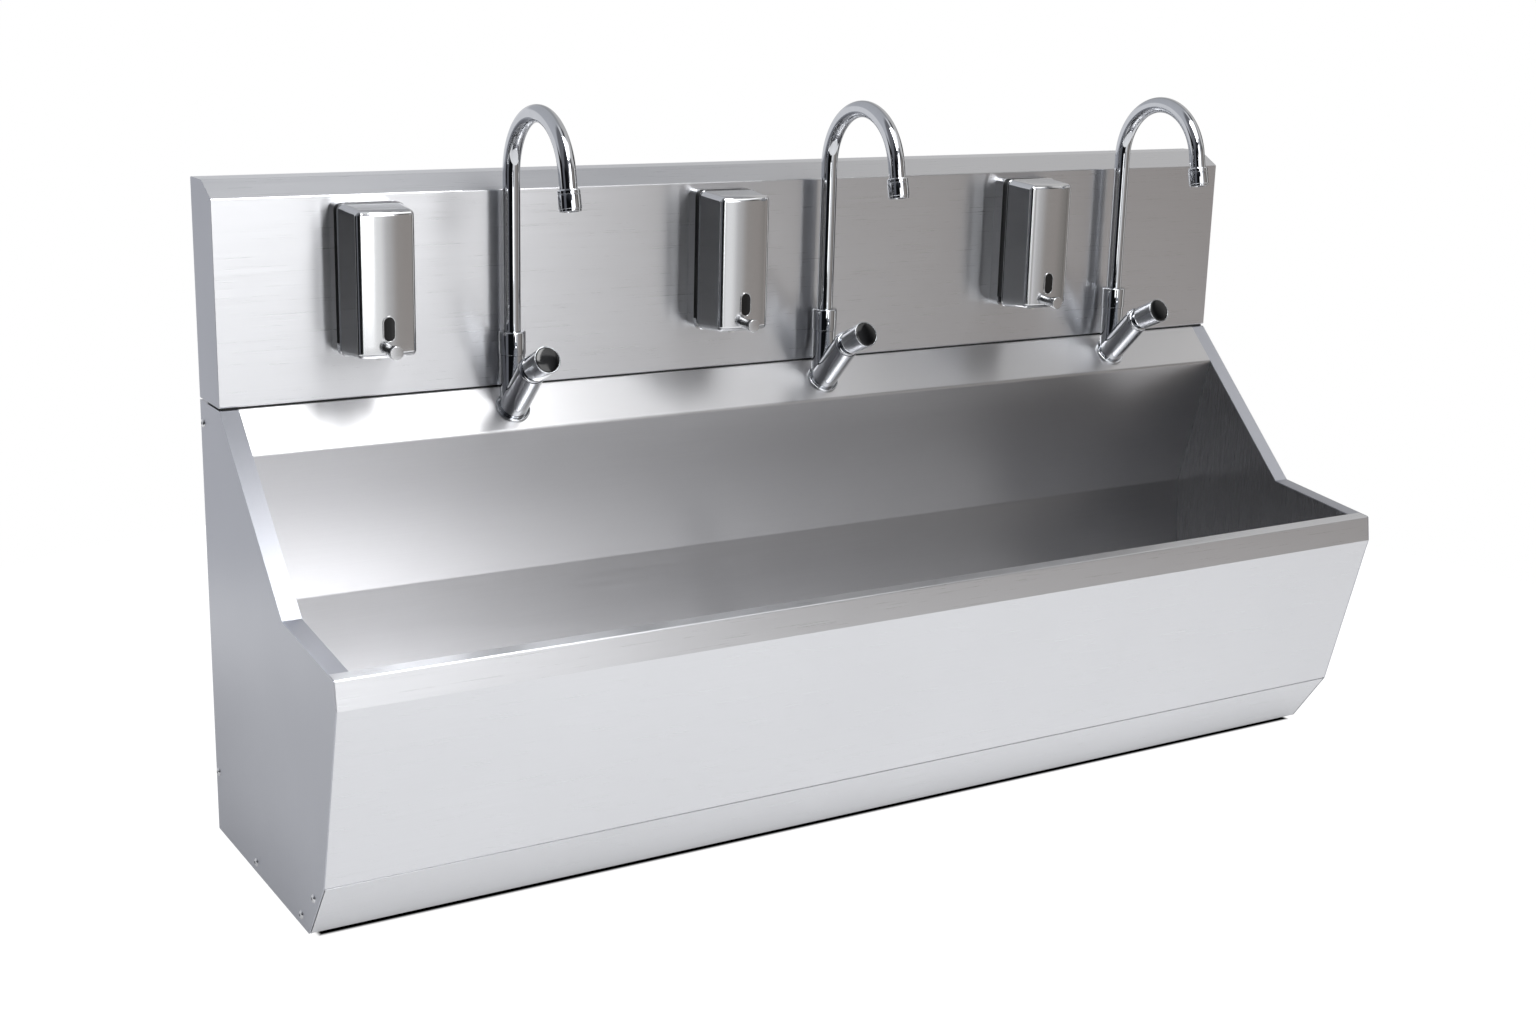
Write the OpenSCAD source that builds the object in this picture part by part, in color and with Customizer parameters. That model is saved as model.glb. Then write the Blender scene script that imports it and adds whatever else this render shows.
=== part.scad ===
// Wall-hung trough sink in folded stainless sheet: a long basin with a slanted
// front, cheeked ends, a tall backsplash, three swivel-spout push taps on a
// sloping ledge and three soap dispensers. Millimetres, +Z up, front towards -Y.
// The origin is under the middle of the box that bounds the trough.

/* [Trough] */
// Length over the two end panels
length = 1800; // [1500:10:2200]
// Depth from the wall to the lower edge of the front lip
depth = 523; // [500:1:600]
// Height of the trough at the wall, below the backsplash
body_h = 647; // [600:1:720]
// Thickness of the folded sheet
sheet = 1.5; // [1:0.1:2.5]
// Outside radius of a plain fold
fold_r = 3; // [2.8:0.1:5]
// Width of the flat strip on top of each cheek
cheek_w = 27; // [20:1:40]
// Distance from the wall to the kink in the cheek
kink_y = 327; // [300:1:360]
// Height of the kink in the cheek
kink_h = 414; // [405:1:450]
// Height of the front rim
rim_h = 392.5; // [370:0.5:402]
// Width of the flat on the front rim
rim_w = 20; // [12:1:30]
// Height of the front lip
lip_h = 39.5; // [25:0.5:60]
// Distance that the lip leans outwards as it drops
lip_lean = 6; // [2:0.5:12]
// Distance from the wall to the crease under the apron
crease_y = 457; // [440:1:475]
// Height of the crease under the apron
crease_h = 89; // [70:1:110]
// Depth of the flat underside
foot_d = 394; // [370:1:420]
// Width of the fixing flanges on the loose panels
flange_w = 24; // [20:1:28]
// Gap left round the service panel
panel_gap = 1.2; // [0.5:0.1:2]

/* [Basin] */
// Width of the sloping tap ledge, along its slope
ledge_w = 76; // [70:1:90]
// Radius of the ledge's front edge
ledge_r = 6; // [4:0.5:10]
// Radius of the folds inside the basin
basin_r = 12; // [6:1:16]
// Height of the fold in the rear wall
rear_fold_h = 363; // [320:1:400]
// Distance from the wall to the fold in the rear wall
rear_fold_y = 84; // [75:1:100]
// Distance from the wall to the foot of the rear wall
rear_foot_y = 97; // [88:1:120]
// Height of the basin floor
floor_h = 200; // [190:1:230]
// Distance from the wall to the foot of the front wall
front_foot_y = 447; // [420:1:455]

/* [Backsplash] */
// Depth of the backsplash
splash_d = 90; // [80:1:100]
// Height of the backsplash from its seal to its top
splash_h = 307; // [280:1:340]
// Depth of the flat on its top
splash_flat = 49; // [30:1:60]
// Drop of the slope at its front edge
splash_drop = 22; // [10:1:40]
// Thickness of the seal that it stands on
seal_t = 3; // [2:0.5:5]

/* [Tap] */
// Diameter of the tap's inclined barrel
barrel_d = 42; // [38:0.5:46]
// Length of the barrel up to the bend of its head
barrel_l = 94; // [88:1:104]
// Tilt of the push knob's axis from upright
knob_tilt = 65; // [60:1:72]
// Length of the head in front of the bend
head_l = 6; // [4:0.5:8]
// Diameter of the push knob
knob_d = 40; // [37:0.5:42]
// Length of the push knob
knob_l = 46; // [42:0.5:52]
// Travel of the push knob
knob_travel = 5; // [3:0.5:6]
// Diameter of the black disc in the knob
cap_d = 35; // [30:0.5:35]
// Diameter of the upright branch
branch_d = 37; // [34:0.5:40]
// Height of the branch's top above the tap's seat
branch_h = 80; // [74:1:90]
// Diameter of the collar on the branch
collar_d = 39; // [36:0.5:42]
// Height of the collar
collar_h = 34; // [28:1:40]
// Diameter of the base ring
ring_d = 52; // [50:0.5:56]
// Thickness of the base ring
ring_h = 4; // [3:0.5:6]
// Diameter of the threaded shank under the ledge
shank_d = 20.9; // [20:0.1:22]
// Length of the threaded shank
shank_l = 55; // [50:1:60]

/* [Spout] */
// Diameter of the spout's tube
tube_d = 25; // [22:0.5:26]
// Wall of the spout's tube
tube_wall = 1.5; // [1:0.1:2.5]
// Radius of the spout's arc, on its centre line
arc_r = 91; // [80:1:105]
// Angle that the arc turns through
arc_a = 168.5; // [150:0.5:180]
// Height of the arc's top centre line above the tap's seat
arc_top = 430; // [400:1:470]
// Straight length after the arc, down to the outlet's face
tail_l = 52; // [45:1:60]
// Diameter of the outlet's head
outlet_d = 32; // [29:0.5:35]
// Length of the outlet's head
outlet_l = 30; // [25:1:34]

/* [Dispenser] */
// Width of the dispenser
disp_w = 98; // [90:1:110]
// Height of the dispenser
disp_h = 211; // [200:1:220]
// Height of its bottom above the trough's top
disp_rise = 69; // [60:1:75]
// Depth of the back box
back_d = 25; // [20:1:30]
// Thickness of the gasket behind the cover
gasket_t = 6; // [4:0.5:8]
// Depth of the cover
cover_d = 58; // [55:1:64]
// Taper of the cover on each side
cover_taper = 6; // [3:0.5:8]
// Taper of the cover at its top and bottom
cover_end_taper = 4; // [2:0.5:4]
// Bulge of the cover's front face
cover_bulge = 4; // [2:0.5:6]
// Wall of the cover
cover_wall = 1.2; // [1:0.1:1.8]
// Radius of the dispenser's corners
corner_r = 10; // [8:0.5:12]
// Diameter of the push button
button_d = 15.5; // [12:0.5:16]
// Diameter of the button's head
button_head_d = 19.5; // [19:0.1:22]
// Length of the button in front of the cover
button_out = 26; // [24:1:30]
// Travel of the push button
button_travel = 10; // [4:0.5:12]
// Height of the button above the dispenser's bottom
button_z = 16; // [16:0.5:20]
// Width of the level window
window_w = 15; // [12:0.5:18]
// Height of the level window
window_h = 33; // [28:0.5:38]
// Height of the window's middle above the dispenser's bottom
window_z = 45; // [44:0.5:60]

/* [Waste and supply] */
// Diameter of the waste strainer
strainer_d = 82; // [76:1:90]
// Diameter of the waste hole in the basin floor
waste_d = 60; // [54:1:62]
// Diameter of the waste pipe
pipe_d = 40; // [38:0.5:44]
// Diameter of the trap's bottle
bottle_d = 78; // [70:1:84]
// Diameter of the supply pipe
supply_d = 22; // [18:0.5:24]
// Diameter of the wall fixing holes
fixing_d = 11; // [8:0.5:13]
// Diameter of the panel screw heads
screw_head_d = 12.5; // [11:0.5:14]
// Diameter of the panel screws
screw_d = 6; // [5:0.1:6.5]

/* [Hidden] */

// overrun of every cut, and the working clearances
eps = 0.5;
run_gap = 0.05;
free_gap = 0.4;
weld_lap = 0.5;
weld_step = 0.04;

// places along the length, as shares of it
tap_shares = [0.2355, 0.5350, 0.8655];
dispenser_shares = [0.1172, 0.4319, 0.7550];
// place of the taps across the ledge, and of the panel screws
tap_seat_share = 0.5;
side_bottom_shares = [0.449, 0.929];
side_rear_shares = [0.144, 0.951];
side_chamfer_share = 0.42;
fixing_x_share = 0.43;
fixing_z_shares = [0.2, 0.87];
inlet_share = 0.385;

// outline of the trough in the plane across its length, as [y, z]
p_top_back = [0, body_h];
p_ledge = [-splash_d, body_h];
p_kink = [-kink_y, kink_h];
p_rim = [-(depth - lip_lean), rim_h];
p_lip = [-depth, rim_h - lip_h];
p_crease = [-crease_y, crease_h];
p_foot = [-foot_d, 0];
p_heel = [0, 0];

function dir(a, b) = (b - a) / norm(b - a);
function left_of(d) = [-d[1], d[0]];
function turned(v, a) = [v[0] * cos(a) - v[1] * sin(a), v[0] * sin(a) + v[1] * cos(a)];
function rev(p) = [for (i = [len(p) - 1:-1:0]) p[i]];
// path moved to its left by s, with mitred corners
function beside(p, s) = [
  for (i = [0:len(p) - 1])
    let (
      a = left_of(i > 0 ? dir(p[i - 1], p[i]) : dir(p[0], p[1])),
      b = left_of(i < len(p) - 1 ? dir(p[i], p[i + 1]) : dir(p[i - 1], p[i]))
    )
    p[i] + s * (a + b) / (1 + a * b)
];
// arc that rounds the corner b between a and c
fold_steps = 6;
function corner(a, b, c, r) =
  let (
    d1 = dir(a, b),
    d2 = dir(b, c),
    side = sign(d1[0] * d2[1] - d1[1] * d2[0]),
    turn = acos(max(-1, min(1, d1 * d2))),
    s = b - d1 * r * tan(turn / 2),
    m = s + side * r * left_of(d1)
  )
  [for (k = [0:fold_steps]) m + turned(s - m, side * turn * k / fold_steps)];
function bent(p, rs) = [
  p[0],
  for (i = [1:len(p) - 2]) each corner(p[i - 1], p[i], p[i + 1], rs[i - 1]),
  p[len(p) - 1]
];

u_slope = dir(p_ledge, p_kink);
u_cheek = dir(p_rim, p_kink);
u_chamfer = dir(p_crease, p_foot);
p_edge = p_ledge + u_slope * ledge_w;
p_rim_in = p_rim + u_cheek * rim_w;
ledge_a = atan2(-u_slope[1], -u_slope[0]);
tap_seat = p_ledge + u_slope * ledge_w * tap_seat_share;

// the outline's coordinates run from the wall and the left end
module in_trough() {
  translate([-length / 2, depth / 2, 0]) children();
}

module across(x0, x1) {
  translate([x0, 0, 0])
    rotate([90, 0, 90])
      linear_extrude(x1 - x0) children();
}

module folded(path, t, x0, x1) {
  across(x0, x1) polygon(concat(path, rev(beside(path, t))));
}

// cylinder along the length from x0 to x1
module rod(x0, x1, d) {
  translate([x0, 0, 0])
    rotate([0, 90, 0])
      cylinder(d = d, h = x1 - x0, $fn = 48);
}

// Basin

waste_x = length / 2;
waste_y = -(rear_foot_y + front_foot_y) / 2;
rim_down = -left_of(u_cheek) * sheet;
p_front_top = p_rim_in + rim_down;
basin_path = bent(
  [p_top_back, p_ledge, p_edge, [-rear_fold_y, rear_fold_h],
    [-rear_foot_y, floor_h], [-front_foot_y, floor_h], p_front_top],
  [fold_r, ledge_r, basin_r, basin_r, basin_r]
);

module tap_holes() {
  for (s = tap_shares)
    translate([length * s, tap_seat[0], tap_seat[1]])
      rotate([ledge_a, 0, 0])
        cylinder(d = shank_d + 2 * free_gap, h = 4 * sheet, center = true, $fn = 48);
}

module basin() {
  color("gainsboro")
    in_trough()
      difference() {
        folded(rev(basin_path), -sheet, cheek_w, length - cheek_w);
        tap_holes();
        translate([waste_x, waste_y, floor_h - sheet - eps])
          cylinder(d = waste_d, h = sheet + 2 * eps, $fn = 64);
      }
}

// Ends

side_screws = [
  [-flange_w / 2, body_h * side_rear_shares[0]],
  [-flange_w / 2, body_h * side_rear_shares[1]],
  [-foot_d * side_bottom_shares[0], flange_w * 2 / 3],
  [-foot_d * side_bottom_shares[1], flange_w * 2 / 3],
  p_crease + u_chamfer * norm(p_foot - p_crease) * side_chamfer_share
    + left_of(u_chamfer) * flange_w * 2 / 3
];
cheek_path = bent([p_top_back, p_ledge, p_kink, p_rim_in], [fold_r, fold_r]);
end_path = bent(
  [p_heel, p_foot, p_crease, p_lip, p_rim, p_kink, p_ledge, p_top_back],
  [fold_r, fold_r, fold_r, fold_r, fold_r, fold_r]
);

// holes in an end panel, drawn from its outer face inwards
module side_holes(h) {
  for (p = side_screws)
    translate([-eps, p[0], p[1]])
      rod(0, h + 2 * eps, screw_d + 2 * free_gap);
}

module end_panel() {
  difference() {
    union() {
      across(0, sheet) polygon(end_path);
      folded(cheek_path, sheet, 0, cheek_w);
    }
    side_holes(sheet);
  }
}

module end_wall() {
  wall_top = beside([[-sheet, body_h], p_ledge, p_kink, p_rim_in], sheet);
  p_high_front = p_front_top - [sheet, sheet / 2];
  p_low_front = [-front_foot_y - sheet, floor_h - sheet];
  p_low_back = [-sheet, floor_h - sheet];
  across(cheek_w - sheet, cheek_w)
    polygon(concat(wall_top, [p_high_front, p_low_front, p_low_back]));
}

module mirrored_end() {
  translate([length, 0, 0])
    mirror([1, 0, 0]) children();
}

module left_end_panel() { color("#a5a8b0") in_trough() end_panel(); }
module right_end_panel() { color("#a5a8b0") in_trough() mirrored_end() end_panel(); }
module left_end_wall() { color("#8a8988") in_trough() end_wall(); }
module right_end_wall() { color("#4a4948") in_trough() mirrored_end() end_wall(); }

// Front and underside

apron_path = bent(
  [p_rim_in, p_rim, p_lip, p_crease, p_crease + [flange_w, 0]],
  [fold_r, fold_r, fold_r]
);

module front_apron() {
  color("#dcdce1")
    in_trough()
      folded(apron_path, sheet, sheet, length - sheet);
}

p_chamfer_top = p_crease + u_chamfer * (-sheet * u_chamfer[0] / u_chamfer[1] + free_gap);
panel_x = sheet + panel_gap;
p_tab_top = p_crease + u_chamfer * flange_w * 1.5;
p_tab_back = [-(flange_w + sheet + panel_gap), 0];
service_path = bent([p_chamfer_top, p_foot, [-sheet, 0], [-sheet, flange_w]], [fold_r, fold_r]);

// upstand at one end of the service panel, which the side screws hold
module service_tab() {
  path = [p_tab_top, p_foot, p_tab_back];
  difference() {
    across(panel_x, panel_x + sheet)
      polygon(concat(path, rev(beside(path, flange_w))));
    side_holes(panel_x + sheet);
  }
}

module service_panel() {
  color("#b5b8be")
    in_trough() {
      folded(service_path, sheet, panel_x, length - panel_x);
      service_tab();
      mirrored_end() service_tab();
    }
}

// Rear panel

pipe_z = floor_h / 2;
supply_drop = shank_l + supply_d / 2;
supply_at = tap_seat - [-sin(ledge_a), cos(ledge_a)] * supply_drop;
inlet_d = supply_d * 1.4;
socket_wall = 5;
socket_d = pipe_d + 2 * socket_wall;
flange_low = flange_w * 2;
flange_high = body_h - sheet - fold_r;

module rear_flange() {
  difference() {
    translate([sheet, -flange_w, flange_low])
      cube([sheet, flange_w - sheet + weld_lap, flange_high - flange_low]);
    side_holes(2 * sheet);
  }
}

module rear_panel() {
  color("#b0b2b5")
    in_trough() {
      difference() {
        translate([sheet, -sheet, 0])
          cube([length - 2 * sheet, sheet, body_h - sheet]);
        for (s = [-1, 1], k = fixing_z_shares)
          translate([length / 2 + s * length * fixing_x_share, eps, body_h * k])
            rotate([90, 0, 0])
              cylinder(d = fixing_d, h = sheet + 2 * eps, $fn = 48);
        translate([waste_x, eps, pipe_z])
          rotate([90, 0, 0])
            cylinder(d = socket_d + 2 * free_gap, h = sheet + 2 * eps, $fn = 64);
        translate([length * inlet_share, eps, supply_at[1]])
          rotate([90, 0, 0])
            cylinder(d = inlet_d + 2 * free_gap, h = sheet + 2 * eps, $fn = 64);
      }
      rear_flange();
      mirrored_end() rear_flange();
    }
}

// Backsplash

splash_z = body_h + seal_t;
splash_top = splash_z + splash_h;
splash_back_w = splash_d * 0.45;
splash_foot_w = splash_d * 0.7;
splash_bends = [[0, splash_top], [-splash_flat, splash_top], [-splash_d, splash_top - splash_drop],
  [-splash_d, splash_z]];
splash_path = bent(
  concat([[0, splash_top - splash_back_w]], splash_bends, [[-splash_d + splash_foot_w, splash_z]]),
  [fold_r, fold_r, fold_r, fold_r]
);

module splash_end() {
  across(0, sheet) polygon(concat([[0, splash_z]], splash_path));
}

module backsplash() {
  color("#cfcfd2")
    in_trough() {
      folded(splash_path, sheet, sheet, length - sheet);
      splash_end();
      mirrored_end() splash_end();
    }
}

module splash_seal() {
  color("#26262a")
    in_trough()
      translate([2 * sheet, -splash_d + 2 * sheet, body_h])
        cube([length - 4 * sheet, splash_foot_w - 2 * sheet, seal_t]);
}

// Waste

strainer_t = 2.5;
strainer_tube_l = 26;
slot_d = 6.5;
body_top = floor_h - sheet;
body_cup_h = strainer_tube_l + sheet;
cup_wall = 8;
body_d = waste_d + 2 * cup_wall;
tail_h = 42;
tail_wall = 2;

module waste_strainer() {
  color("#c8cacd")
    in_trough()
      translate([waste_x, waste_y, floor_h])
        difference() {
          union() {
            cylinder(d = strainer_d, h = strainer_t, $fn = 96);
            translate([0, 0, -strainer_tube_l])
              cylinder(d = waste_d - 2 * free_gap, h = strainer_tube_l + eps, $fn = 64);
          }
          translate([0, 0, -strainer_tube_l - eps])
            cylinder(d = waste_d - 4 * tail_wall, h = strainer_tube_l + eps, $fn = 64);
          translate([0, 0, -eps])
            cylinder(d = slot_d, h = strainer_t + 2 * eps, $fn = 24);
          for (ring = [1, 2], a = [0:360 / (6 * ring):359])
            rotate([0, 0, a])
              translate([ring * slot_d * 1.6, 0, -eps])
                cylinder(d = slot_d, h = strainer_t + 2 * eps, $fn = 24);
        }
}

module waste_body() {
  tail_r = pipe_d / 2;
  color("#d9dadd")
    in_trough()
      translate([waste_x, waste_y, body_top])
        rotate_extrude($fn = 64)
          polygon([
            [waste_d / 2, 0],
            [body_d / 2, 0],
            [body_d / 2, -body_cup_h],
            [tail_r, -body_cup_h - tail_wall * 4],
            [tail_r, -body_cup_h - tail_h],
            [tail_r - tail_wall, -body_cup_h - tail_h],
            [tail_r - tail_wall, -body_cup_h - tail_wall * 2],
            [waste_d / 2, -body_cup_h + tail_wall]
          ]);
}

bottle_low = crease_h / 4;
bottle_high = body_top - body_cup_h - tail_h * 0.7;
bottle_wall = 3;
sleeve_h = 14;
sleeve_wall = 4;

module trap() {
  color("#f0f0ee")
    in_trough()
      translate([waste_x, waste_y, 0])
        difference() {
          union() {
            translate([0, 0, bottle_low])
              cylinder(d = bottle_d, h = bottle_high - bottle_low, $fn = 64);
            translate([0, 0, bottle_high])
              cylinder(d = pipe_d + 2 * sleeve_wall, h = sleeve_h, $fn = 64);
            translate([0, 0, pipe_z])
              rotate([-90, 0, 0])
                cylinder(d = pipe_d + 2 * sleeve_wall, h = bottle_d * 0.75, $fn = 64);
          }
          translate([0, 0, bottle_low + bottle_wall])
            cylinder(d = bottle_d - 2 * bottle_wall,
              h = bottle_high - bottle_low - 2 * bottle_wall, $fn = 64);
          translate([0, 0, bottle_high - bottle_wall - eps])
            cylinder(d = pipe_d + 2 * run_gap, h = sleeve_h + bottle_wall + 2 * eps, $fn = 64);
          translate([0, 0, pipe_z])
            rotate([-90, 0, 0])
              cylinder(d = pipe_d - 2 * tail_wall, h = bottle_d, $fn = 64);
          translate([0, bottle_d * 0.75 - sleeve_h, pipe_z])
            rotate([-90, 0, 0])
              cylinder(d = pipe_d + 2 * run_gap, h = sleeve_h + eps, $fn = 64);
        }
}

socket_l = 40;
pipe_from = waste_y + bottle_d * 0.75 - sleeve_h;

module waste_pipe() {
  color("#f0f0ee")
    in_trough()
      translate([waste_x, 0, pipe_z])
        rotate([90, 0, 0])
          difference() {
            union() {
              cylinder(d = pipe_d, h = -pipe_from, $fn = 64);
              cylinder(d = socket_d, h = socket_l + sheet, $fn = 64);
            }
            translate([0, 0, -eps])
              cylinder(d = pipe_d + 4 * run_gap, h = socket_l + eps, $fn = 64);
            cylinder(d = pipe_d - 2 * tail_wall, h = -pipe_from + eps, $fn = 64);
          }
}

// Supply

inlet_bore = shank_d;
branch_bore = 13;
inlet_l = 16;
union_wall = 5.5;
union_d = shank_d + 2 * union_wall;
union_h = 20;
nut_wall = 6;
nut_d = shank_d + 2 * nut_wall;
nut_h = 8;

module at_seat(i) {
  translate([length * tap_shares[i], tap_seat[0], tap_seat[1]]) children();
}

module on_ledge(i) {
  at_seat(i) rotate([ledge_a, 0, 0]) children();
}

module supply_pipe() {
  x_in = length * inlet_share;
  x_from = length * tap_shares[0] - supply_d;
  x_to = length * tap_shares[2] + supply_d;
  color("#c08a4a")
    in_trough()
      difference() {
        translate([0, supply_at[0], supply_at[1]]) rod(x_from, x_to, supply_d);
        translate([0, supply_at[0], supply_at[1]])
          rod(x_from + tail_wall, x_to - tail_wall, supply_d - 2 * tail_wall);
        // mouth of the inlet
        translate([x_in, supply_at[0], supply_at[1]])
          rotate([-90, 0, 0])
            cylinder(d = branch_bore, h = supply_d, $fn = 64);
        // mouths of the three branches
        for (i = [0:2])
          on_ledge(i)
            translate([0, 0, -supply_drop])
              cylinder(d = branch_bore, h = supply_drop, $fn = 48);
      }
}

// threaded stub between the wall and the pipe
module supply_inlet() {
  x_in = length * inlet_share;
  color("#c08a4a")
    in_trough()
      difference() {
        translate([x_in, supply_at[0], supply_at[1]])
          rotate([-90, 0, 0])
            cylinder(d = inlet_d, h = -supply_at[0], $fn = 64);
        translate([x_in, supply_at[0], supply_at[1]])
          rotate([-90, 0, 0])
            cylinder(d = branch_bore, h = -supply_at[0], $fn = 64);
        translate([x_in, -inlet_l, supply_at[1]])
          rotate([-90, 0, 0])
            cylinder(d = inlet_bore, h = inlet_l + eps, $fn = 64);
        translate([0, supply_at[0], supply_at[1]])
          rod(x_in - inlet_d, x_in + inlet_d, supply_d);
      }
}

// union nut round each shank's end and the pipe's branch
module union_nuts() {
  color("#c9a35c")
    in_trough()
      for (i = [0:2])
        on_ledge(i)
          difference() {
            translate([0, 0, -supply_drop])
              cylinder(d = union_d, h = supply_d / 2 + union_h, $fn = 6);
            translate([0, 0, -shank_l])
              cylinder(d = shank_d + 2 * run_gap, h = union_h + eps, $fn = 48);
            translate([0, 0, -supply_drop])
              cylinder(d = branch_bore, h = supply_drop, $fn = 48);
            translate([0, 0, -supply_drop]) rod(-union_d, union_d, supply_d);
          }
}

module tap_backnuts() {
  color("#c9a35c")
    in_trough()
      for (i = [0:2])
        on_ledge(i)
          translate([0, 0, -sheet - nut_h])
            difference() {
              cylinder(d = nut_d, h = nut_h, $fn = 6);
              translate([0, 0, -eps])
                cylinder(d = shank_d + 2 * run_gap, h = nut_h + 2 * eps, $fn = 48);
            }
}

// Screws

head_h = screw_head_d * 0.28;
screw_l = 7;
socket_af = 4;

module panel_screw() {
  dome_r = (head_h * head_h + screw_head_d * screw_head_d / 4) / (2 * head_h);
  difference() {
    intersection() {
      rotate([0, -90, 0])
        cylinder(d = screw_head_d, h = head_h, $fn = 48);
      translate([dome_r - head_h, 0, 0])
        sphere(r = dome_r, $fn = 64);
    }
    translate([-head_h - eps, 0, 0])
      rotate([0, 90, 0])
        cylinder(d = socket_af, h = head_h / 2 + eps, $fn = 6);
  }
  rod(-weld_lap, screw_l, screw_d);
}

module side_screw_set() {
  for (p = side_screws)
    translate([0, p[0], p[1]]) panel_screw();
}

module panel_screws() {
  color("silver")
    in_trough() {
      side_screw_set();
      mirrored_end() side_screw_set();
    }
}

// Taps

neck_d = 26;
neck_l = 22;
knob_spare = 1;
knob_gap = knob_travel + knob_spare;
cap_t = 2.5;
cap_rise = 2;
knob_edge = 2;
knob_bore_l = neck_l - knob_gap + knob_travel + knob_spare;
socket_dip = 28;

module base_ring() {
  inner = barrel_d / 2;
  outer = ring_d / 2;
  lip = ring_h / 2;
  rotate_extrude($fn = 96)
    polygon([[inner, 0], [outer, 0], [outer, lip], [outer - lip, ring_h], [inner, ring_h]]);
}

module tap_base_rings() {
  color("#e2e4e8")
    in_trough()
      for (i = [0:2]) on_ledge(i) base_ring();
}

module tap_body(i) {
  color("#e2e4e8")
    in_trough()
      difference() {
        union() {
          intersection() {
            on_ledge(i) {
              cylinder(d = barrel_d, h = barrel_l, $fn = 96);
              translate([0, 0, barrel_l]) sphere(d = barrel_d + weld_step, $fn = 96);
            }
            on_head(i)
              translate([0, 0, -2 * barrel_l])
                cylinder(d = 4 * barrel_l, h = 2 * barrel_l + head_l - weld_step, $fn = 48);
          }
          on_ledge(i)
            translate([0, 0, -shank_l]) cylinder(d = shank_d, h = shank_l + eps, $fn = 48);
          on_head(i) {
            cylinder(d = barrel_d - weld_step, h = head_l, $fn = 96);
            cylinder(d = neck_d, h = head_l + neck_l, $fn = 64);
          }
          intersection() {
            at_seat(i) cylinder(d = branch_d, h = branch_h, $fn = 96);
            on_ledge(i)
              translate([0, 0, ring_h])
                cylinder(d1 = barrel_d - ring_h, d2 = barrel_d + 4 * branch_h, h = 2 * branch_h,
                  $fn = 96);
          }
        }
        at_seat(i)
          translate([0, 0, branch_h - socket_dip])
            cylinder(d = tube_d + 2 * run_gap, h = socket_dip + eps, $fn = 96);
      }
}

module on_head(i) {
  at_seat(i)
    rotate([ledge_a, 0, 0])
      translate([0, 0, barrel_l])
        rotate([knob_tilt - ledge_a, 0, 0]) children();
}

module tap_collar(i) {
  color("#e2e4e8")
    in_trough()
      at_seat(i)
        translate([0, 0, branch_h])
          difference() {
            rotate_extrude($fn = 96)
              polygon([[0, 0], [collar_d / 2, 0], [collar_d / 2, collar_h - knob_edge / 2],
                [collar_d / 2 - knob_edge / 2, collar_h], [0, collar_h]]);
            translate([0, 0, -eps])
              cylinder(d = tube_d + 2 * run_gap, h = collar_h + 2 * eps, $fn = 96);
          }
}

arc_z = arc_top - arc_r;
outlet_lap = 4;
tube_tail = tail_l - outlet_l + outlet_lap;
spout_foot = branch_h - socket_dip + free_gap;
arc_end = [-arc_r + arc_r * cos(arc_a), arc_z + arc_r * sin(arc_a)];

// the spout's swept path as a round bar of diameter d, longer by e at each end
module spout_bar(d, e) {
  translate([0, 0, spout_foot - e])
    cylinder(d = d - weld_step, h = arc_z - spout_foot + e + weld_lap, $fn = 96);
  translate([0, -arc_r, arc_z])
    rotate([90, 0, 90])
      rotate_extrude(angle = arc_a, $fn = 128)
        translate([arc_r, 0])
          circle(d = d, $fn = 48);
  translate([0, arc_end[0], arc_end[1]])
    rotate([arc_a, 0, 0])
      translate([0, 0, -weld_lap])
        cylinder(d = d - weld_step, h = tube_tail + e + weld_lap, $fn = 96);
}

module spout(i) {
  color("#e2e4e8")
    in_trough()
      at_seat(i)
        difference() {
          spout_bar(tube_d, 0);
          spout_bar(tube_d - 2 * tube_wall, eps);
        }
}

module outlet(i) {
  color("#d4d6da")
    in_trough()
      at_seat(i)
        translate([0, arc_end[0], arc_end[1]])
          rotate([arc_a, 0, 0])
            translate([0, 0, tail_l - outlet_l])
              difference() {
                rotate_extrude($fn = 96)
                  polygon([[0, 0], [outlet_d / 2 - tube_wall, 0], [outlet_d / 2, tube_wall],
                    [outlet_d / 2, outlet_l - tube_wall / 2],
                    [outlet_d / 2 - tube_wall / 2, outlet_l], [0, outlet_l]]);
                translate([0, 0, -eps])
                  cylinder(d = tube_d + 2 * run_gap, h = outlet_lap + eps, $fn = 96);
                cylinder(d = tube_d - 6 * tube_wall, h = outlet_l, $fn = 64);
                translate([0, 0, outlet_l - 2 * tube_wall])
                  cylinder(d = tube_d - tube_wall, h = 2 * tube_wall + eps, $fn = 64);
              }
}

module knob(i) {
  color("#e2e4e8")
    in_trough()
      on_head(i)
        translate([0, 0, head_l + knob_gap])
          difference() {
            rotate_extrude($fn = 96)
              polygon([[0, 0], [knob_d / 2 - 2 * knob_edge, 0], [knob_d / 2, 2 * knob_edge],
                [knob_d / 2, knob_l - knob_edge / 2], [knob_d / 2 - knob_edge / 2, knob_l],
                [0, knob_l]]);
            translate([0, 0, -eps])
              cylinder(d = neck_d + 2 * run_gap, h = knob_bore_l + eps, $fn = 64);
            translate([0, 0, knob_l - cap_t])
              cylinder(d = cap_d, h = cap_t + eps, $fn = 96);
          }
}

module knob_cap(i) {
  cap_r = cap_d / 2 - run_gap;
  dome_r = (cap_rise * cap_rise + cap_r * cap_r) / (2 * cap_rise);
  color("#18191b")
    in_trough()
      on_head(i)
        translate([0, 0, head_l + knob_gap + knob_l - cap_t])
          intersection() {
            cylinder(r = cap_r, h = cap_t + cap_rise, $fn = 96);
            translate([0, 0, cap_t + cap_rise - dome_r]) sphere(r = dome_r, $fn = 96);
          }
}

// Dispensers

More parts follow.
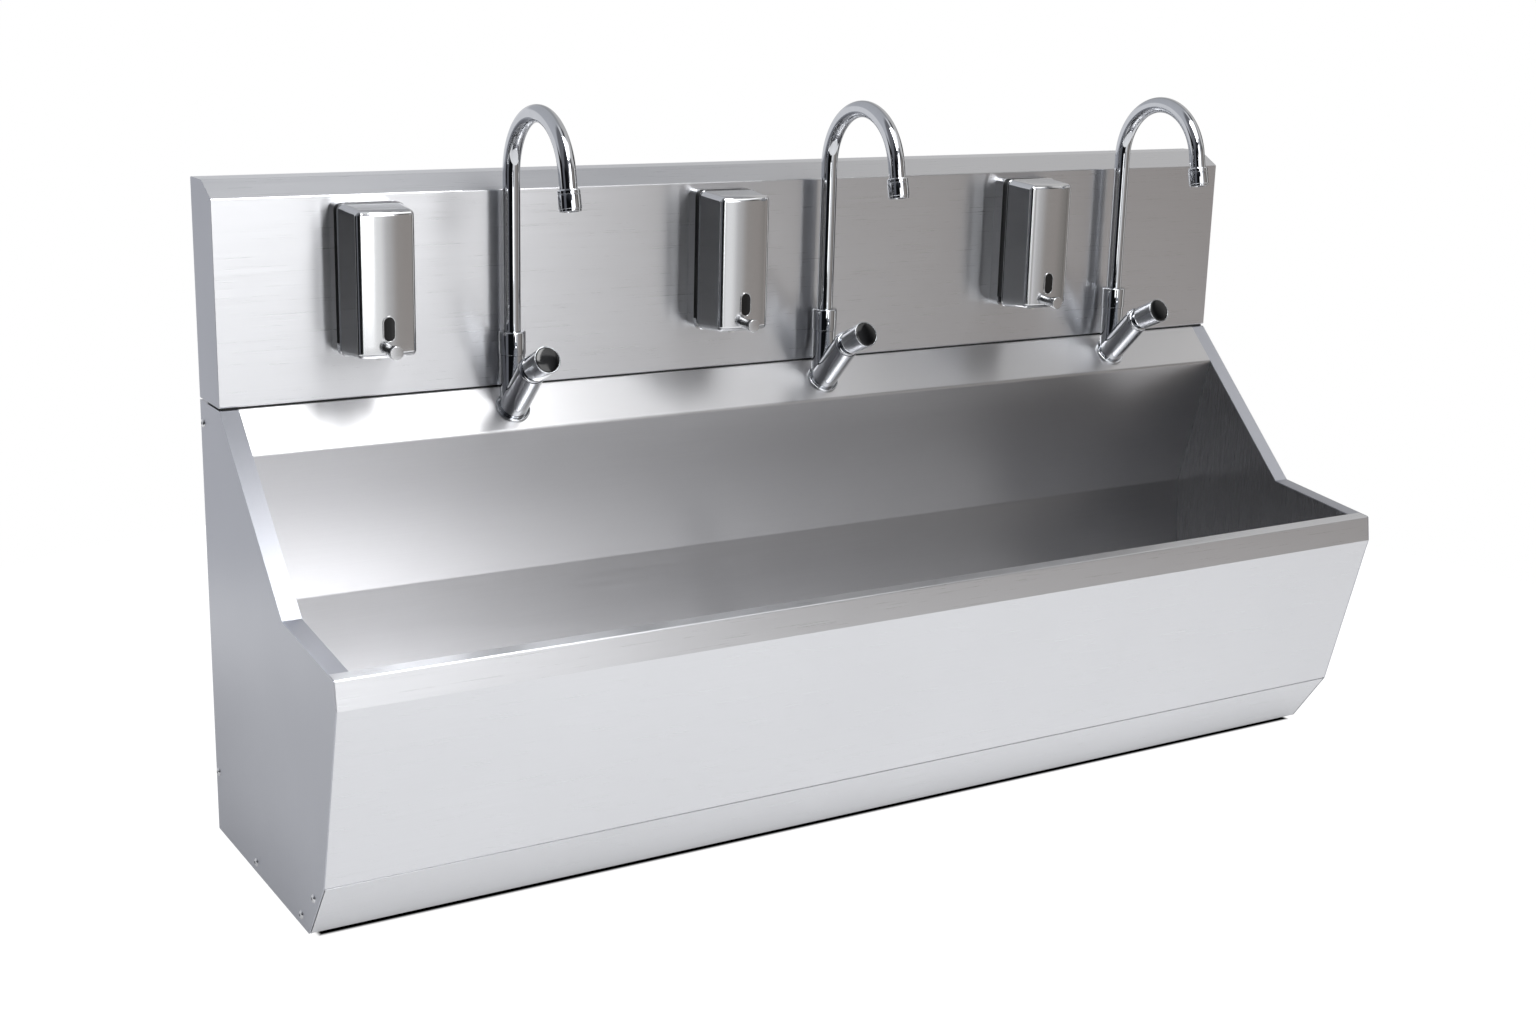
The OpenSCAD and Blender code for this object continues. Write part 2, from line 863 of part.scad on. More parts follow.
pin_d = 5;
cover_back = back_d + gasket_t + free_gap;
pin_y = -(cover_back + pin_d);
pin_z = 6.5;
lug_inset = 20;
ear_inset = 14;
lug_x = disp_w / 2 - lug_inset;
ear_x = disp_w / 2 - ear_inset;
lug_t = 2;
cover_front = cover_back + cover_d;
edge_r = 5;
spout_y = -52;
nozzle_d = 10;
button_tail = 15;
button_flange = 2;
flange_step = 2;
button_at = cover_front + cover_bulge;
plunger_l = button_at - button_tail - button_travel - free_gap + spout_y;

module at_dispenser(i) {
  translate([length * dispenser_shares[i], -splash_d, body_h + disp_rise]) children();
}

module rounded_box_2d(w, z0, z1, r) {
  translate([-w / 2 + r, z0]) square([w - 2 * r, z1 - z0]);
  translate([-w / 2, z0 + r]) square([w, z1 - z0 - 2 * r]);
  for (x = [-w / 2 + r, w / 2 - r], z = [z0 + r, z1 - r])
    translate([x, z]) circle(r = r, $fn = 48);
}

module slot_2d(w, h) {
  translate([-w / 2, -(h - w) / 2]) square([w, h - w]);
  for (s = [-1, 1])
    translate([0, s * (h - w) / 2]) circle(d = w, $fn = 48);
}

// a flat shape drawn in x and z, from y0 forward to y1
module forward(y0, y1) {
  translate([0, -y0, 0])
    rotate([90, 0, 0])
      linear_extrude(y1 - y0) children();
}

module hinge_block(x, t, y0, y1, z0) {
  translate([x - t / 2, y1, z0])
    cube([t, y0 - y1, pin_z - z0]);
}

module dispenser_back(i) {
  color("#8f9196")
    in_trough()
      at_dispenser(i) {
        difference() {
          forward(0, back_d) rounded_box_2d(disp_w, 0, disp_h, corner_r);
          forward(-eps, back_d - sheet)
            rounded_box_2d(disp_w - 2 * sheet, sheet, disp_h - sheet, corner_r - sheet);
        }
        // lugs that carry the hinge pin
        for (s = [-1, 1]) {
          translate([s * lug_x - lug_t / 2, pin_y, pin_z - pin_d * 0.75])
            cube([lug_t, -pin_y - back_d + weld_lap, pin_d * 1.5]);
          translate([s * lug_x - lug_t / 2, pin_y, pin_z])
            rod(0, lug_t, pin_d * 1.5 + weld_step);
        }
        translate([0, pin_y, pin_z]) rod(-ear_x - lug_t, ear_x + lug_t, pin_d);
      }
}

module gasket(i) {
  inset = sheet * 2;
  z_open = corner_r + 2 * inset;
  color("#1c1c1e")
    in_trough()
      at_dispenser(i)
        difference() {
          forward(back_d, back_d + gasket_t)
            rounded_box_2d(disp_w - 2 * inset, inset, disp_h - inset, corner_r - inset / 2);
          forward(back_d - eps, back_d + gasket_t + eps)
            rounded_box_2d(disp_w - 6 * inset, 3 * inset, disp_h - 3 * inset, corner_r / 2);
          translate([-disp_w, -back_d - gasket_t - eps, -eps])
            cube([2 * disp_w, gasket_t + 2 * eps, z_open + eps]);
        }
}

tank_d = cover_d * 0.75;
tank_low = 40;
tank_top_gap = 20;
tank_side_gap = 15;
tank_high = disp_h - tank_top_gap;
tank_w = disp_w - 2 * tank_side_gap;
nozzle_gap = 3;
window_rim = 2;

module reservoir(i) {
  color("#f4f4f2")
    in_trough()
      at_dispenser(i) {
        forward(back_d, back_d + tank_d)
          rounded_box_2d(tank_w, tank_low, tank_high, corner_r / 2);
        translate([0, spout_y, pin_z * 2])
          cylinder(d = nozzle_d * 2.2, h = tank_low - pin_z * 2 + eps, $fn = 48);
        translate([0, spout_y, -nozzle_d * 0.3])
          cylinder(d = nozzle_d, h = pin_z * 2 + nozzle_d * 0.3 + eps, $fn = 48);
        translate([0, spout_y, button_z])
          rotate([90, 0, 0])
            cylinder(d = nozzle_d * 0.6, h = plunger_l, $fn = 32);
      }
}

// the cover's tapered shell, shrunk by w on every side
module cover_form(w, y0) {
  hull() {
    forward(y0, y0 + sheet)
      rounded_box_2d(disp_w - 2 * w, w, disp_h - w, corner_r - w);
    for (k = [-1:0.5:1], z = [cover_end_taper + edge_r, disp_h - cover_end_taper - edge_r])
      translate([
        k * (disp_w / 2 - cover_taper - edge_r),
        -cover_front + edge_r - cover_bulge * (1 - k * k),
        z
      ])
        sphere(r = edge_r - w, $fn = 24);
  }
}

module cover(i) {
  color("#c4c6ca")
    in_trough()
      at_dispenser(i)
        difference() {
          union() {
            difference() {
              cover_form(0, cover_back);
              cover_form(cover_wall, cover_back - sheet);
            }
            // hinge ears on the cover's floor
            for (s = [-1, 1]) {
              translate([s * ear_x - lug_t / 2, pin_y, pin_z]) rod(0, lug_t, pin_d * 2);
              hinge_block(s * ear_x, lug_t, pin_y + pin_d, pin_y - pin_d, cover_wall / 2);
            }
            // rim round the level window
            translate([0, 0, window_z])
              forward(button_at - cover_wall, button_at + cover_wall / 2)
                slot_2d(window_w + 2 * window_rim, window_h + 2 * window_rim);
          }
          for (s = [-1, 1]) {
            translate([s * ear_x - lug_t, pin_y, pin_z]) rod(0, 2 * lug_t, pin_d + 2 * run_gap);
            // slot for the back's lug as the cover swings
            translate([s * lug_x - lug_t, pin_y - pin_d * 1.5, -eps])
              cube([2 * lug_t, pin_d * 3, pin_z + eps]);
          }
          translate([0, 0, window_z])
            forward(cover_front - edge_r, button_at + edge_r) slot_2d(window_w, window_h);
          translate([0, -cover_front + edge_r, button_z])
            rotate([90, 0, 0])
              cylinder(d = button_d + 2 * run_gap, h = 4 * edge_r, $fn = 64);
          translate([0, spout_y, -eps])
            cylinder(d = nozzle_d + 2 * nozzle_gap, h = pin_z, $fn = 48);
        }
}

module window(i) {
  color("#0e0e10")
    in_trough()
      at_dispenser(i)
        translate([0, 0, window_z]) {
          forward(button_at - cover_wall * 2, button_at)
            slot_2d(window_w - 2 * run_gap, window_h - 2 * run_gap);
        }
}

module button(i) {
  flange_y = button_at - cover_wall - free_gap * 2;
  color("#d0d2d6")
    in_trough()
      at_dispenser(i)
        translate([0, 0, button_z])
          rotate([90, 0, 0]) {
            translate([0, 0, button_at - button_tail])
              cylinder(d = button_d, h = button_tail + button_out, $fn = 64);
            translate([0, 0, flange_y - button_flange])
              cylinder(d = button_d + flange_step, h = button_flange, $fn = 64);
            translate([0, 0, button_at + button_out * 0.65])
              cylinder(d = button_head_d, h = button_out * 0.35, $fn = 64);
          }
}

basin();
left_end_panel();
right_end_panel();
left_end_wall();
right_end_wall();
front_apron();
service_panel();
rear_panel();
backsplash();
splash_seal();
waste_strainer();
waste_body();
trap();
waste_pipe();
supply_pipe();
supply_inlet();
union_nuts();
tap_backnuts();
tap_base_rings();
panel_screws();
tap_body(0);  // left_tap_body
tap_collar(0);  // left_tap_collar
spout(0);  // left_spout
outlet(0);  // left_outlet
knob(0);  // left_knob
knob_cap(0);  // left_knob_cap
tap_body(1);  // centre_tap_body
tap_collar(1);  // centre_tap_collar
spout(1);  // centre_spout
outlet(1);  // centre_outlet
knob(1);  // centre_knob
knob_cap(1);  // centre_knob_cap
tap_body(2);  // right_tap_body
tap_collar(2);  // right_tap_collar
spout(2);  // right_spout
outlet(2);  // right_outlet
knob(2);  // right_knob
knob_cap(2);  // right_knob_cap
dispenser_back(0);  // left_dispenser_back
gasket(0);  // left_gasket
reservoir(0);  // left_reservoir
cover(0);  // left_cover
window(0);  // left_window
button(0);  // left_button
dispenser_back(1);  // centre_dispenser_back
gasket(1);  // centre_gasket
reservoir(1);  // centre_reservoir
cover(1);  // centre_cover
window(1);  // centre_window
button(1);  // centre_button
dispenser_back(2);  // right_dispenser_back
gasket(2);  // right_gasket
reservoir(2);  // right_reservoir
cover(2);  // right_cover
window(2);  // right_window
button(2);  // right_button
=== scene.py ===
# %% [markdown]
# # A hand-washing trough in folded stainless sheet
# The object is a long wall-hung trough with a backsplash, three push taps with swivel spouts and three soap
# dispensers. The measured solids come in first as a fixed frame. Each cell then gives one part of the sink its
# fine shape or its finish, and says why it is made that way.

from math import acos, atan2, cos, pi, radians, sin, tan

import bmesh
import bpy
from mathutils import Matrix, Vector


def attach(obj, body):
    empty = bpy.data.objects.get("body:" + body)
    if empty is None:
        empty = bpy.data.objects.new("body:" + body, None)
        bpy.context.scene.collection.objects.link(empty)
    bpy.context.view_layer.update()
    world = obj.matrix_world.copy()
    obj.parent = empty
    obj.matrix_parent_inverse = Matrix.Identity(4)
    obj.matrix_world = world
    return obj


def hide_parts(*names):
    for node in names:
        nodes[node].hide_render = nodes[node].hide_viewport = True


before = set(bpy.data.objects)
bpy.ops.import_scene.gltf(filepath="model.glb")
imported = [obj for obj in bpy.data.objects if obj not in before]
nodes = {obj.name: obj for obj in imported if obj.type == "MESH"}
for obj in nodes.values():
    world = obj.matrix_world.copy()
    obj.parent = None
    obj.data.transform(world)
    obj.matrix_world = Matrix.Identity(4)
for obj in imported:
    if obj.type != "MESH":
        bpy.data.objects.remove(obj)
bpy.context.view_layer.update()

# %% [markdown]
# ## One ruler for everything
# The sink was measured from its left end, from the wall and from the floor, in millimetres. One helper turns
# such a place into the frame's metres, so every later number can be read off the real object.

# %% The ruler and the stations
MM = 0.001
length, depth, top_h = 1800.0, 523.0, 647.0
splash_d = 90  # the backsplash and the strip under it
tap_xs = (423.9, 963.0, 1557.9)
dispenser_xs = (210.96, 777.42, 1359.0)
stations = ("left", "centre", "right")


def at(x, y, z):
    """A place given from the left end, the wall and the floor, in millimetres."""
    return Vector((x - length / 2, y + depth / 2, z)) * MM


print("taps at", [round(at(x, 0, 0).x, 3) for x in tap_xs])

# %% [markdown]
# ## The camera
# The photograph looks from the front left and a little from above. A camera is placed by its spot, its turn to
# the right, its drop and a small roll. Building the three axes by hand keeps the roll exact.

# %% Place the camera
view_spot = at(-805.8, -2818.3, 1247.7)
view_turn, view_drop, view_roll = 0.55466, 0.25720, 0.02689

ahead = Vector((sin(view_turn) * cos(view_drop), cos(view_turn) * cos(view_drop), -sin(view_drop)))
aside = Vector((cos(view_turn), -sin(view_turn), 0))
above = aside.cross(ahead)
right = cos(view_roll) * aside + sin(view_roll) * above
up = cos(view_roll) * above - sin(view_roll) * aside

lens = bpy.data.cameras.new("view")
lens.lens, lens.sensor_width, lens.sensor_fit = 48.204, 36, "HORIZONTAL"
lens.clip_end = 100
camera = bpy.data.objects.new("view", lens)
turn = Matrix((right, up, -ahead)).transposed()
camera.matrix_world = Matrix.Translation(view_spot) @ turn.to_4x4()
bpy.context.collection.objects.link(camera)
bpy.context.scene.camera = camera
print("camera at", [round(v, 3) for v in view_spot], "lens", lens.lens)

# %% [markdown]
# ## Colours and nodes
# Colours are written as the hex values that an eye would pick from the sheet, and one function turns them to
# linear light. Materials are node trees: one small helper adds a node, sets it and links it.


# %% Colour and node helpers
def shade(hex_value):
    """An sRGB hex colour as linear RGBA."""
    parts = [int(hex_value[i : i + 2], 16) / 255 for i in (1, 3, 5)]
    return [c / 12.92 if c < 0.04045 else ((c + 0.055) / 1.055) ** 2.4 for c in parts] + [1]


def add(tree, kind, fill=None, **settings):
    """Add a node, set its settings, and fill its inputs with values or links."""
    made = tree.nodes.new(kind)
    for name, value in settings.items():
        setattr(made, name, value)
    for key, value in (fill or {}).items():
        if isinstance(value, bpy.types.NodeSocket):
            tree.links.new(value, made.inputs[key])
        else:
            made.inputs[key].default_value = value
    return made


def finish_of(name, surface):
    """A new material with its surface shader and the piece's own coordinates."""
    material = bpy.data.materials.new(name)
    material.use_nodes = True
    tree = material.node_tree
    shader = tree.nodes["Principled BSDF"]
    for key, value in surface.items():
        shader.inputs[key].default_value = value
    return material, tree, shader, add(tree, "ShaderNodeTexCoord").outputs["Object"]


print("white is", [round(c, 2) for c in shade("#FFFFFF")])

# %% [markdown]
# ## Brushed stainless sheet
# The sheets are stainless steel with a brushed finish: belts draw fine parallel lines along the sheet, so a
# reflection stays sharp along the lines and smears out across them. That is anisotropy, and it is why the taps
# show as upright soft bands in the backsplash. Real lines are about 0.1 mm wide and 40 mm long. At this size of
# picture they would vanish, so they are drawn 1 mm wide and 120 mm long, and kept faint. In the basin, light from
# above is painted on the level faces: their colour is mixed towards a paler tone, and they are made a little duller.


# %% The brushed finish
# Painted light: the paler tone mixed into faces that look up, as if lit from above, and the roughness added there.
painted_top_light_colour, level_rough = "#F2F2F3", 0.12


def brushed_sheet(name, light, dark, along, rough, smear=0.75, painted_top_light=0.0, relief=0.18):
    """Brushed steel whose lines run along one axis. The painted top light paints level faces paler, as if lit from
    above, and makes them duller; relief is the lines' strength.
    """
    material, tree, shader, place = finish_of(name, {"Metallic": 1.0, "Anisotropic": smear})
    line_w, line_l, line_deep, cloud = 1 * MM, 120 * MM, 0.04 * MM, 0.35
    swing = relief / 6  # deeper lines vary the gloss more
    stretch = [1 / line_l if i == along else 1 / line_w for i in range(3)]
    lines = add(tree, "ShaderNodeMapping", {"Vector": place, "Scale": stretch})
    grain = add(tree, "ShaderNodeTexNoise", {"Vector": lines.outputs[0], "Scale": 1, "Detail": 4, "Roughness": 0.6})
    clouds = add(tree, "ShaderNodeTexNoise", {"Vector": place, "Scale": 1 / cloud, "Detail": 2})
    tone = add(
        tree,
        "ShaderNodeMapRange",
        {"Value": clouds.outputs["Fac"], "From Min": 0.3, "From Max": 0.7, "To Min": 0.25, "To Max": 0.75},
    )
    mixed = add(tree, "ShaderNodeMath", {0: tone.outputs[0], 1: grain.outputs["Fac"]}, operation="MULTIPLY")
    colour = add(
        tree,
        "ShaderNodeMix",
        {"Factor": mixed.outputs[0], 6: shade(dark), 7: shade(light)},
        data_type="RGBA",
    )
    gloss = add(
        tree,
        "ShaderNodeMapRange",
        {
            "Value": grain.outputs["Fac"],
            "From Min": 0.3,
            "From Max": 0.7,
            "To Min": rough - swing,
            "To Max": rough + swing,
        },
    )
    bumps = add(tree, "ShaderNodeBump", {"Height": grain.outputs["Fac"], "Strength": relief, "Distance": line_deep})
    axis = [0.02, 0.03, 0.02]  # a little off the axis, so that faces square to it still have a direction
    axis[along] = 1.0
    facing = add(tree, "ShaderNodeNewGeometry")
    height = add(tree, "ShaderNodeSeparateXYZ", {"Vector": facing.outputs["Normal"]})
    # Painted light: the more a face looks up, the more it is mixed to the paler tone and made duller.
    level = add(
        tree,
        "ShaderNodeMapRange",
        {"Value": height.outputs["Z"], "From Min": 0.45, "From Max": 0.98, "To Max": painted_top_light},
        interpolation_type="SMOOTHSTEP",
    )
    gloss = add(
        tree,
        "ShaderNodeMath",
        {0: level.outputs[0], 1: level_rough, 2: gloss.outputs[0]},
        operation="MULTIPLY_ADD",
    )
    colour = add(
        tree,
        "ShaderNodeMix",
        {"Factor": level.outputs[0], 6: colour.outputs[2], 7: shade(painted_top_light_colour)},
        data_type="RGBA",
    )
    across = add(tree, "ShaderNodeVectorMath", {0: facing.outputs["Normal"], 1: axis}, operation="CROSS_PRODUCT")
    for socket, value in (
        ("Base Color", colour.outputs[2]),
        ("Roughness", gloss.outputs[0]),
        ("Normal", bumps.outputs[0]),
        ("Tangent", across.outputs[0]),
    ):
        tree.links.new(value, shader.inputs[socket])
    return material


front_steel = brushed_sheet("brushed steel, front", "#E2E3E6", "#D6D7DA", 0, 0.30, 0.85)
side_steel = brushed_sheet("brushed steel, ends", "#C9CBD1", "#B2B4BB", 2, 0.36)
# The basin's level faces get the full painted light from above.
basin_steel = brushed_sheet("brushed steel, basin", "#D8D8DA", "#C8C8CA", 0, 0.31, 0.8, painted_top_light=1.0)
wall_steel = brushed_sheet("brushed steel, basin ends", "#9C9C9D", "#8C8C8D", 2, 0.28)
case_steel = brushed_sheet("brushed steel, dispensers", "#DDDEE0", "#CFD0D2", 0, 0.15, 0.5, relief=0.03)
satin_steel = brushed_sheet("satin steel, small parts", "#DDDEE0", "#CBCCCE", 0, 0.22, 0.2)
print("brushed finishes ready")

# %% [markdown]
# ## Chrome, plastic, rubber and brass
# The taps are chrome-plated brass, polished like a mirror: a metal with almost no roughness. It shows the room,
# so its looks come from the lights. Faint wipe marks vary its gloss. The black discs are glossy ABS, the seals
# are dull EPDM rubber with a fine skin, the soap tank is milky polyethylene, and the pipes are bare brass with
# darker patches where they were handled.


# %% The other finishes
def polished(name, colour, worn, rough, blur):
    """Mirror metal with faint wipe marks."""
    material, tree, shader, place = finish_of(name, {"Metallic": 1.0})
    wipes = add(tree, "ShaderNodeTexNoise", {"Vector": place, "Scale": 1 / 0.012, "Detail": 5, "Distortion": 0.6})
    gloss = add(
        tree,
        "ShaderNodeMapRange",
        {"Value": wipes.outputs["Fac"], "From Min": 0.4, "From Max": 0.75, "To Min": rough, "To Max": rough + blur},
    )
    tint = add(
        tree,
        "ShaderNodeMix",
        {"Factor": wipes.outputs["Fac"], 6: shade(colour), 7: shade(worn)},
        data_type="RGBA",
    )
    tree.links.new(tint.outputs[2], shader.inputs["Base Color"])
    tree.links.new(gloss.outputs[0], shader.inputs["Roughness"])
    return material


def moulded(name, colour, worn, rough, grit, depth_mm, ior=1.5):
    """Moulded plastic or rubber: a fine skin and slightly uneven colour."""
    material, tree, shader, place = finish_of(name, {"IOR": ior})
    skin = add(tree, "ShaderNodeTexNoise", {"Vector": place, "Scale": 1 / (grit * MM), "Detail": 3})
    patches = add(tree, "ShaderNodeTexNoise", {"Vector": place, "Scale": 1 / 0.02, "Detail": 2})
    tint = add(
        tree,
        "ShaderNodeMix",
        {"Factor": patches.outputs["Fac"], 6: shade(colour), 7: shade(worn)},
        data_type="RGBA",
    )
    gloss = add(
        tree,
        "ShaderNodeMapRange",
        {"Value": skin.outputs["Fac"], "To Min": rough - 0.04, "To Max": rough + 0.06},
    )
    relief = add(tree, "ShaderNodeBump", {"Height": skin.outputs["Fac"], "Strength": 0.3, "Distance": depth_mm * MM})
    tree.links.new(tint.outputs[2], shader.inputs["Base Color"])
    tree.links.new(gloss.outputs[0], shader.inputs["Roughness"])
    tree.links.new(relief.outputs[0], shader.inputs["Normal"])
    return material


chrome = polished("polished chrome plate", "#CDCFD2", "#C2C4C8", 0.04, 0.02)
brass = polished("bare brass", "#B98F55", "#9A7442", 0.28, 0.16)
black_abs = moulded("glossy black ABS", "#060708", "#0B0B0D", 0.08, 1.2, 0.002)
window_glass = moulded("dark window acrylic", "#060607", "#0C0C0E", 0.10, 3.0, 0.002, 1.49)
rubber = moulded("black EPDM rubber", "#191A1B", "#242526", 0.62, 0.6, 0.02)
tank_plastic = moulded("milky polyethylene", "#EDEDE8", "#E2E2DC", 0.42, 1.5, 0.01, 1.51)
waste_plastic = moulded("grey-white polypropylene", "#E4E4E0", "#D6D6D2", 0.38, 1.0, 0.01, 1.49)
print(len(bpy.data.materials), "materials")

# %% [markdown]
# ## Folded sheet pieces
# The trough's big parts are cut and folded from 1.5 mm sheet. Their measured solids already have the folds, but
# as loose triangles with knife edges. A copy is stitched together, its flat faces are joined up, and its cut
# edges are broken by 0.35 mm, as a deburred sheet has. Weighted normals keep the flats flat beside the rounds.


# %% Fine copies of the folded pieces
def keep(piece, body, finish, slot, *replaced):
    """Give a finished piece its material and its body, and hide the solids that it stands for. slot is not used."""
    piece.data.materials.clear()
    piece.data.materials.append(finish)
    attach(piece, body)
    if replaced:
        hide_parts(*replaced)
    return piece


def as_object(name, form):
    """A mesh made with bmesh, as an object at the origin."""
    mesh = bpy.data.meshes.new(name)
    form.to_mesh(mesh)
    form.free()
    piece = bpy.data.objects.new(name, mesh)
    bpy.context.collection.objects.link(piece)
    return piece


def settle(piece):
    """Turn a piece's modifiers into plain mesh."""
    shape = piece.evaluated_get(bpy.context.evaluated_depsgraph_get())
    mesh = bpy.data.meshes.new_from_object(shape)
    piece.modifiers.clear()
    piece.data = mesh
    return piece


def softened(node, edge_mm, slide=None, steps=2, smooth_deg=32):
    """A stitched copy of a solid with its sharp edges broken. slide moves the points in a band of depth."""
    form = bmesh.new()
    form.from_mesh(nodes[node].data)
    if slide:
        low, high, by = slide
        for vert in form.verts:
            if low < vert.co.y < high:
                vert.co.y += by
    bmesh.ops.remove_doubles(form, verts=form.verts, dist=0.00001)
    bmesh.ops.dissolve_limit(form, angle_limit=radians(0.4), verts=form.verts, edges=form.edges)
    piece = as_object(node + "_fine", form)
    piece.data.shade_smooth()
    piece.data.set_sharp_from_angle(angle=radians(smooth_deg))
    if edge_mm:
        edge = piece.modifiers.new("edge", "BEVEL")
        edge.width, edge.segments = edge_mm * MM, steps
        edge.limit_method, edge.angle_limit = "ANGLE", radians(smooth_deg)
        edge.use_clamp_overlap = True
    flat = piece.modifiers.new("flats", "WEIGHTED_NORMAL")
    flat.keep_sharp = True
    return settle(piece)


broken_edge = 0.35
sheets = {
    "basin": basin_steel,
    "left_end_wall": wall_steel,
    "right_end_wall": wall_steel,
    "front_apron": front_steel,
    "service_panel": front_steel,
    "rear_panel": side_steel,
    "left_end_panel": side_steel,
    "right_end_panel": side_steel,
    "backsplash": front_steel,
}
record_slots = {name: item.data.materials[0].name for name, item in nodes.items()}
print({name: record_slots[name] for name in sheets})
for name, steel in sheets.items():
    piece = keep(softened(name, broken_edge), "sink", steel, record_slots[name], name)
    if name == "backsplash":  # its two ends are brushed like the end panels
        piece.data.materials.append(side_steel)
        for face in piece.data.polygons:
            face.material_index = 1 if abs(face.normal.x) > 0.9 else 0
    print(name, len(piece.data.polygons), "faces")

# %% [markdown]
# ## Turned pieces
# Taps are turned on a lathe. So is their mesh: an outline of radius and distance along the axis is spun round,
# and its ends are closed on the axis, or the outline closes on itself for a ring. Small roundings of the
# outline catch the thin bright lines that polished edges show.


# %% The lathe
def spun(outline, foot, axis, ring=False, steps=96, ends=None):
    """Spin an outline of (radius, along) in millimetres round an axis. ends shifts some of its rows along it."""
    axis = Vector(axis).normalized()
    side = axis.orthogonal().normalized()
    over = axis.cross(side)
    form = bmesh.new()
    rows = []
    for index, (radius, along) in enumerate(outline):
        if radius < 1e-6:
            rows.append([form.verts.new(foot + axis * along * MM)])
            continue
        row = []
        for k in range(steps):
            way = cos(2 * pi * k / steps) * side + sin(2 * pi * k / steps) * over
            lift = ends(index, way * radius) if ends else 0
            row.append(form.verts.new(foot + (way * radius + axis * (along + lift)) * MM))
        rows.append(row)
    pairs = list(zip(rows, rows[1:])) + ([(rows[-1], rows[0])] if ring else [])
    for a, b in pairs:
        for k in range(steps):
            corners = [a[k % len(a)], a[(k + 1) % len(a)], b[(k + 1) % len(b)], b[k % len(b)]]
            form.faces.new(list(dict.fromkeys(corners)))
    bmesh.ops.recalc_face_normals(form, faces=form.faces)
    return form


def rounded(outline, radii, steps=5):
    """Round the inner corners of an outline, each by its own radius."""
    made = [outline[0]]
    for i in range(1, len(outline) - 1):
        a, b, c = (Vector(p) for p in outline[i - 1 : i + 2])
        r = radii[i - 1]
        if not r:
            made.append(tuple(b))
            continue
        d1, d2 = (a - b).normalized(), (c - b).normalized()
        half = acos(max(-1, min(1, d1.dot(d2)))) / 2
        reach = r / tan(half)
        start, stop = b + d1 * reach, b + d2 * reach
        middle = b + (d1 + d2).normalized() * (r / sin(half))
        for k in range(steps + 1):
            spoke = (start - middle).lerp(stop - middle, k / steps).normalized() * r
            made.append(tuple(middle + spoke))
    made.append(outline[-1])
    return made


def joined(name, forms, smooth_deg=40):
    """Several closed forms as one smooth-shaded piece."""
    whole = bmesh.new()
    for form in forms:
        part = bpy.data.meshes.new("part")
        form.to_mesh(part)
        form.free()
        whole.from_mesh(part)
        bpy.data.meshes.remove(part)
    piece = as_object(name, whole)
    piece.data.shade_smooth()
    piece.data.set_sharp_from_angle(angle=radians(smooth_deg))
    return piece


print("lathe ready")

# %% [markdown]
# ## The tap bodies
# Each tap is cast in one piece and chromed: a barrel that stands square on the slanting ledge, a head that bends
# on towards the user, and an upright branch for the spout. A thin seam shows where barrel and head meet, on a
# slant half-way between their axes. Three turned forms make it: both sides of the seam are cut on that slant, and
# the branch has a socket for the spout's foot.

# %% Tap bodies
kink_y, kink_z, ledge_l = 327, 414, 76  # where the cheek's slope ends, and the ledge along its slope
ledge_a = atan2(top_h - kink_z, kink_y - splash_d)
seat_y = -splash_d - ledge_l * cos(ledge_a) / 2
seat_z = top_h - ledge_l * sin(ledge_a) / 2
knob_a = radians(65)
barrel_axis = Vector((0, -sin(ledge_a), cos(ledge_a)))
head_axis = Vector((0, -sin(knob_a), cos(knob_a)))
seam_axis = (barrel_axis + head_axis).normalized()
barrel_r, barrel_l, head_l, neck_r, neck_l = 21.0, 94.0, 6.0, 13.0, 22.0
branch_r, branch_h, ring_h = 18.5, 80.0, 4.0
tube_r, spout_foot, branch_bore_r = 12.5, 52.4, 12.55


def slanted(rows, axis):
    """Shift the given rows along the axis so that they lie in the seam's plane."""

    def lift(index, spoke):
        return -spoke.dot(seam_axis) / axis.dot(seam_axis) if index in rows else 0

    return lift


def branch_foot(way):
    """Height above the seat at which the branch's wall runs into the barrel's foot, on one side."""
    low, high = -20.0, 60.0
    for _ in range(40):
        z = (low + high) / 2
        point = way + Vector((0, 0, z))
        along = point.dot(barrel_axis)
        off = (point - barrel_axis * along).length
        if off < barrel_r - ring_h / 2 + (along - ring_h) * 0.99 and along > ring_h:
            high = z
        else:
            low = z
    return high


def tap_body(x):
    """The barrel, the bent head and the spout's branch of the tap at x."""
    seat = at(x, seat_y, seat_z)
    bend = seat + barrel_axis * barrel_l * MM
    barrel_top = barrel_l - 0.1
    barrel = spun(
        [(0, 0), (barrel_r, 0), (barrel_r, barrel_l - 0.45), (barrel_r - 0.35, barrel_top), (0, barrel_top)],
        seat,
        barrel_axis,
        ends=slanted({2, 3}, barrel_axis),
    )
    head = spun(
        [(0, 0), (barrel_r - 0.6, 0.0), (barrel_r - 0.4, 0.3), (barrel_r - 0.05, 0.8)]
        + rounded([(barrel_r - 0.05, 1.0), (barrel_r - 0.05, head_l), (neck_r, head_l)], [4.5], 8)[1:]
        + [(neck_r, head_l + neck_l), (0, head_l + neck_l)],
        bend,
        head_axis,
        ends=slanted({1, 2, 3}, head_axis),
    )
    branch = spun(
        [(0, 10), (branch_r, 0), (branch_r, branch_h - 0.6), (branch_r - 0.6, branch_h)]
        + [(branch_bore_r, branch_h), (branch_bore_r, spout_foot - 0.1), (0, spout_foot - 0.1)],
        seat,
        (0, 0, 1),
        ends=lambda index, way: branch_foot(way) if index == 1 else 0,
    )
    return [barrel, head, branch]


for station, x in zip(stations, tap_xs):
    body = joined(station + "_tap_body_fine", tap_body(x), 25)
    keep(body, "sink", chrome, "tap_chrome", station + "_tap_body")
    print(body.name, len(body.data.polygons), "faces")

# %% [markdown]
# ## Collars, knobs and discs
# The collar holds the spout: a ring with a bright rounded rim and a fine groove at its foot. The push knob is a
# short cup with a rounded lip that holds a slightly domed black disc. It slides on the neck, so its back is bored.

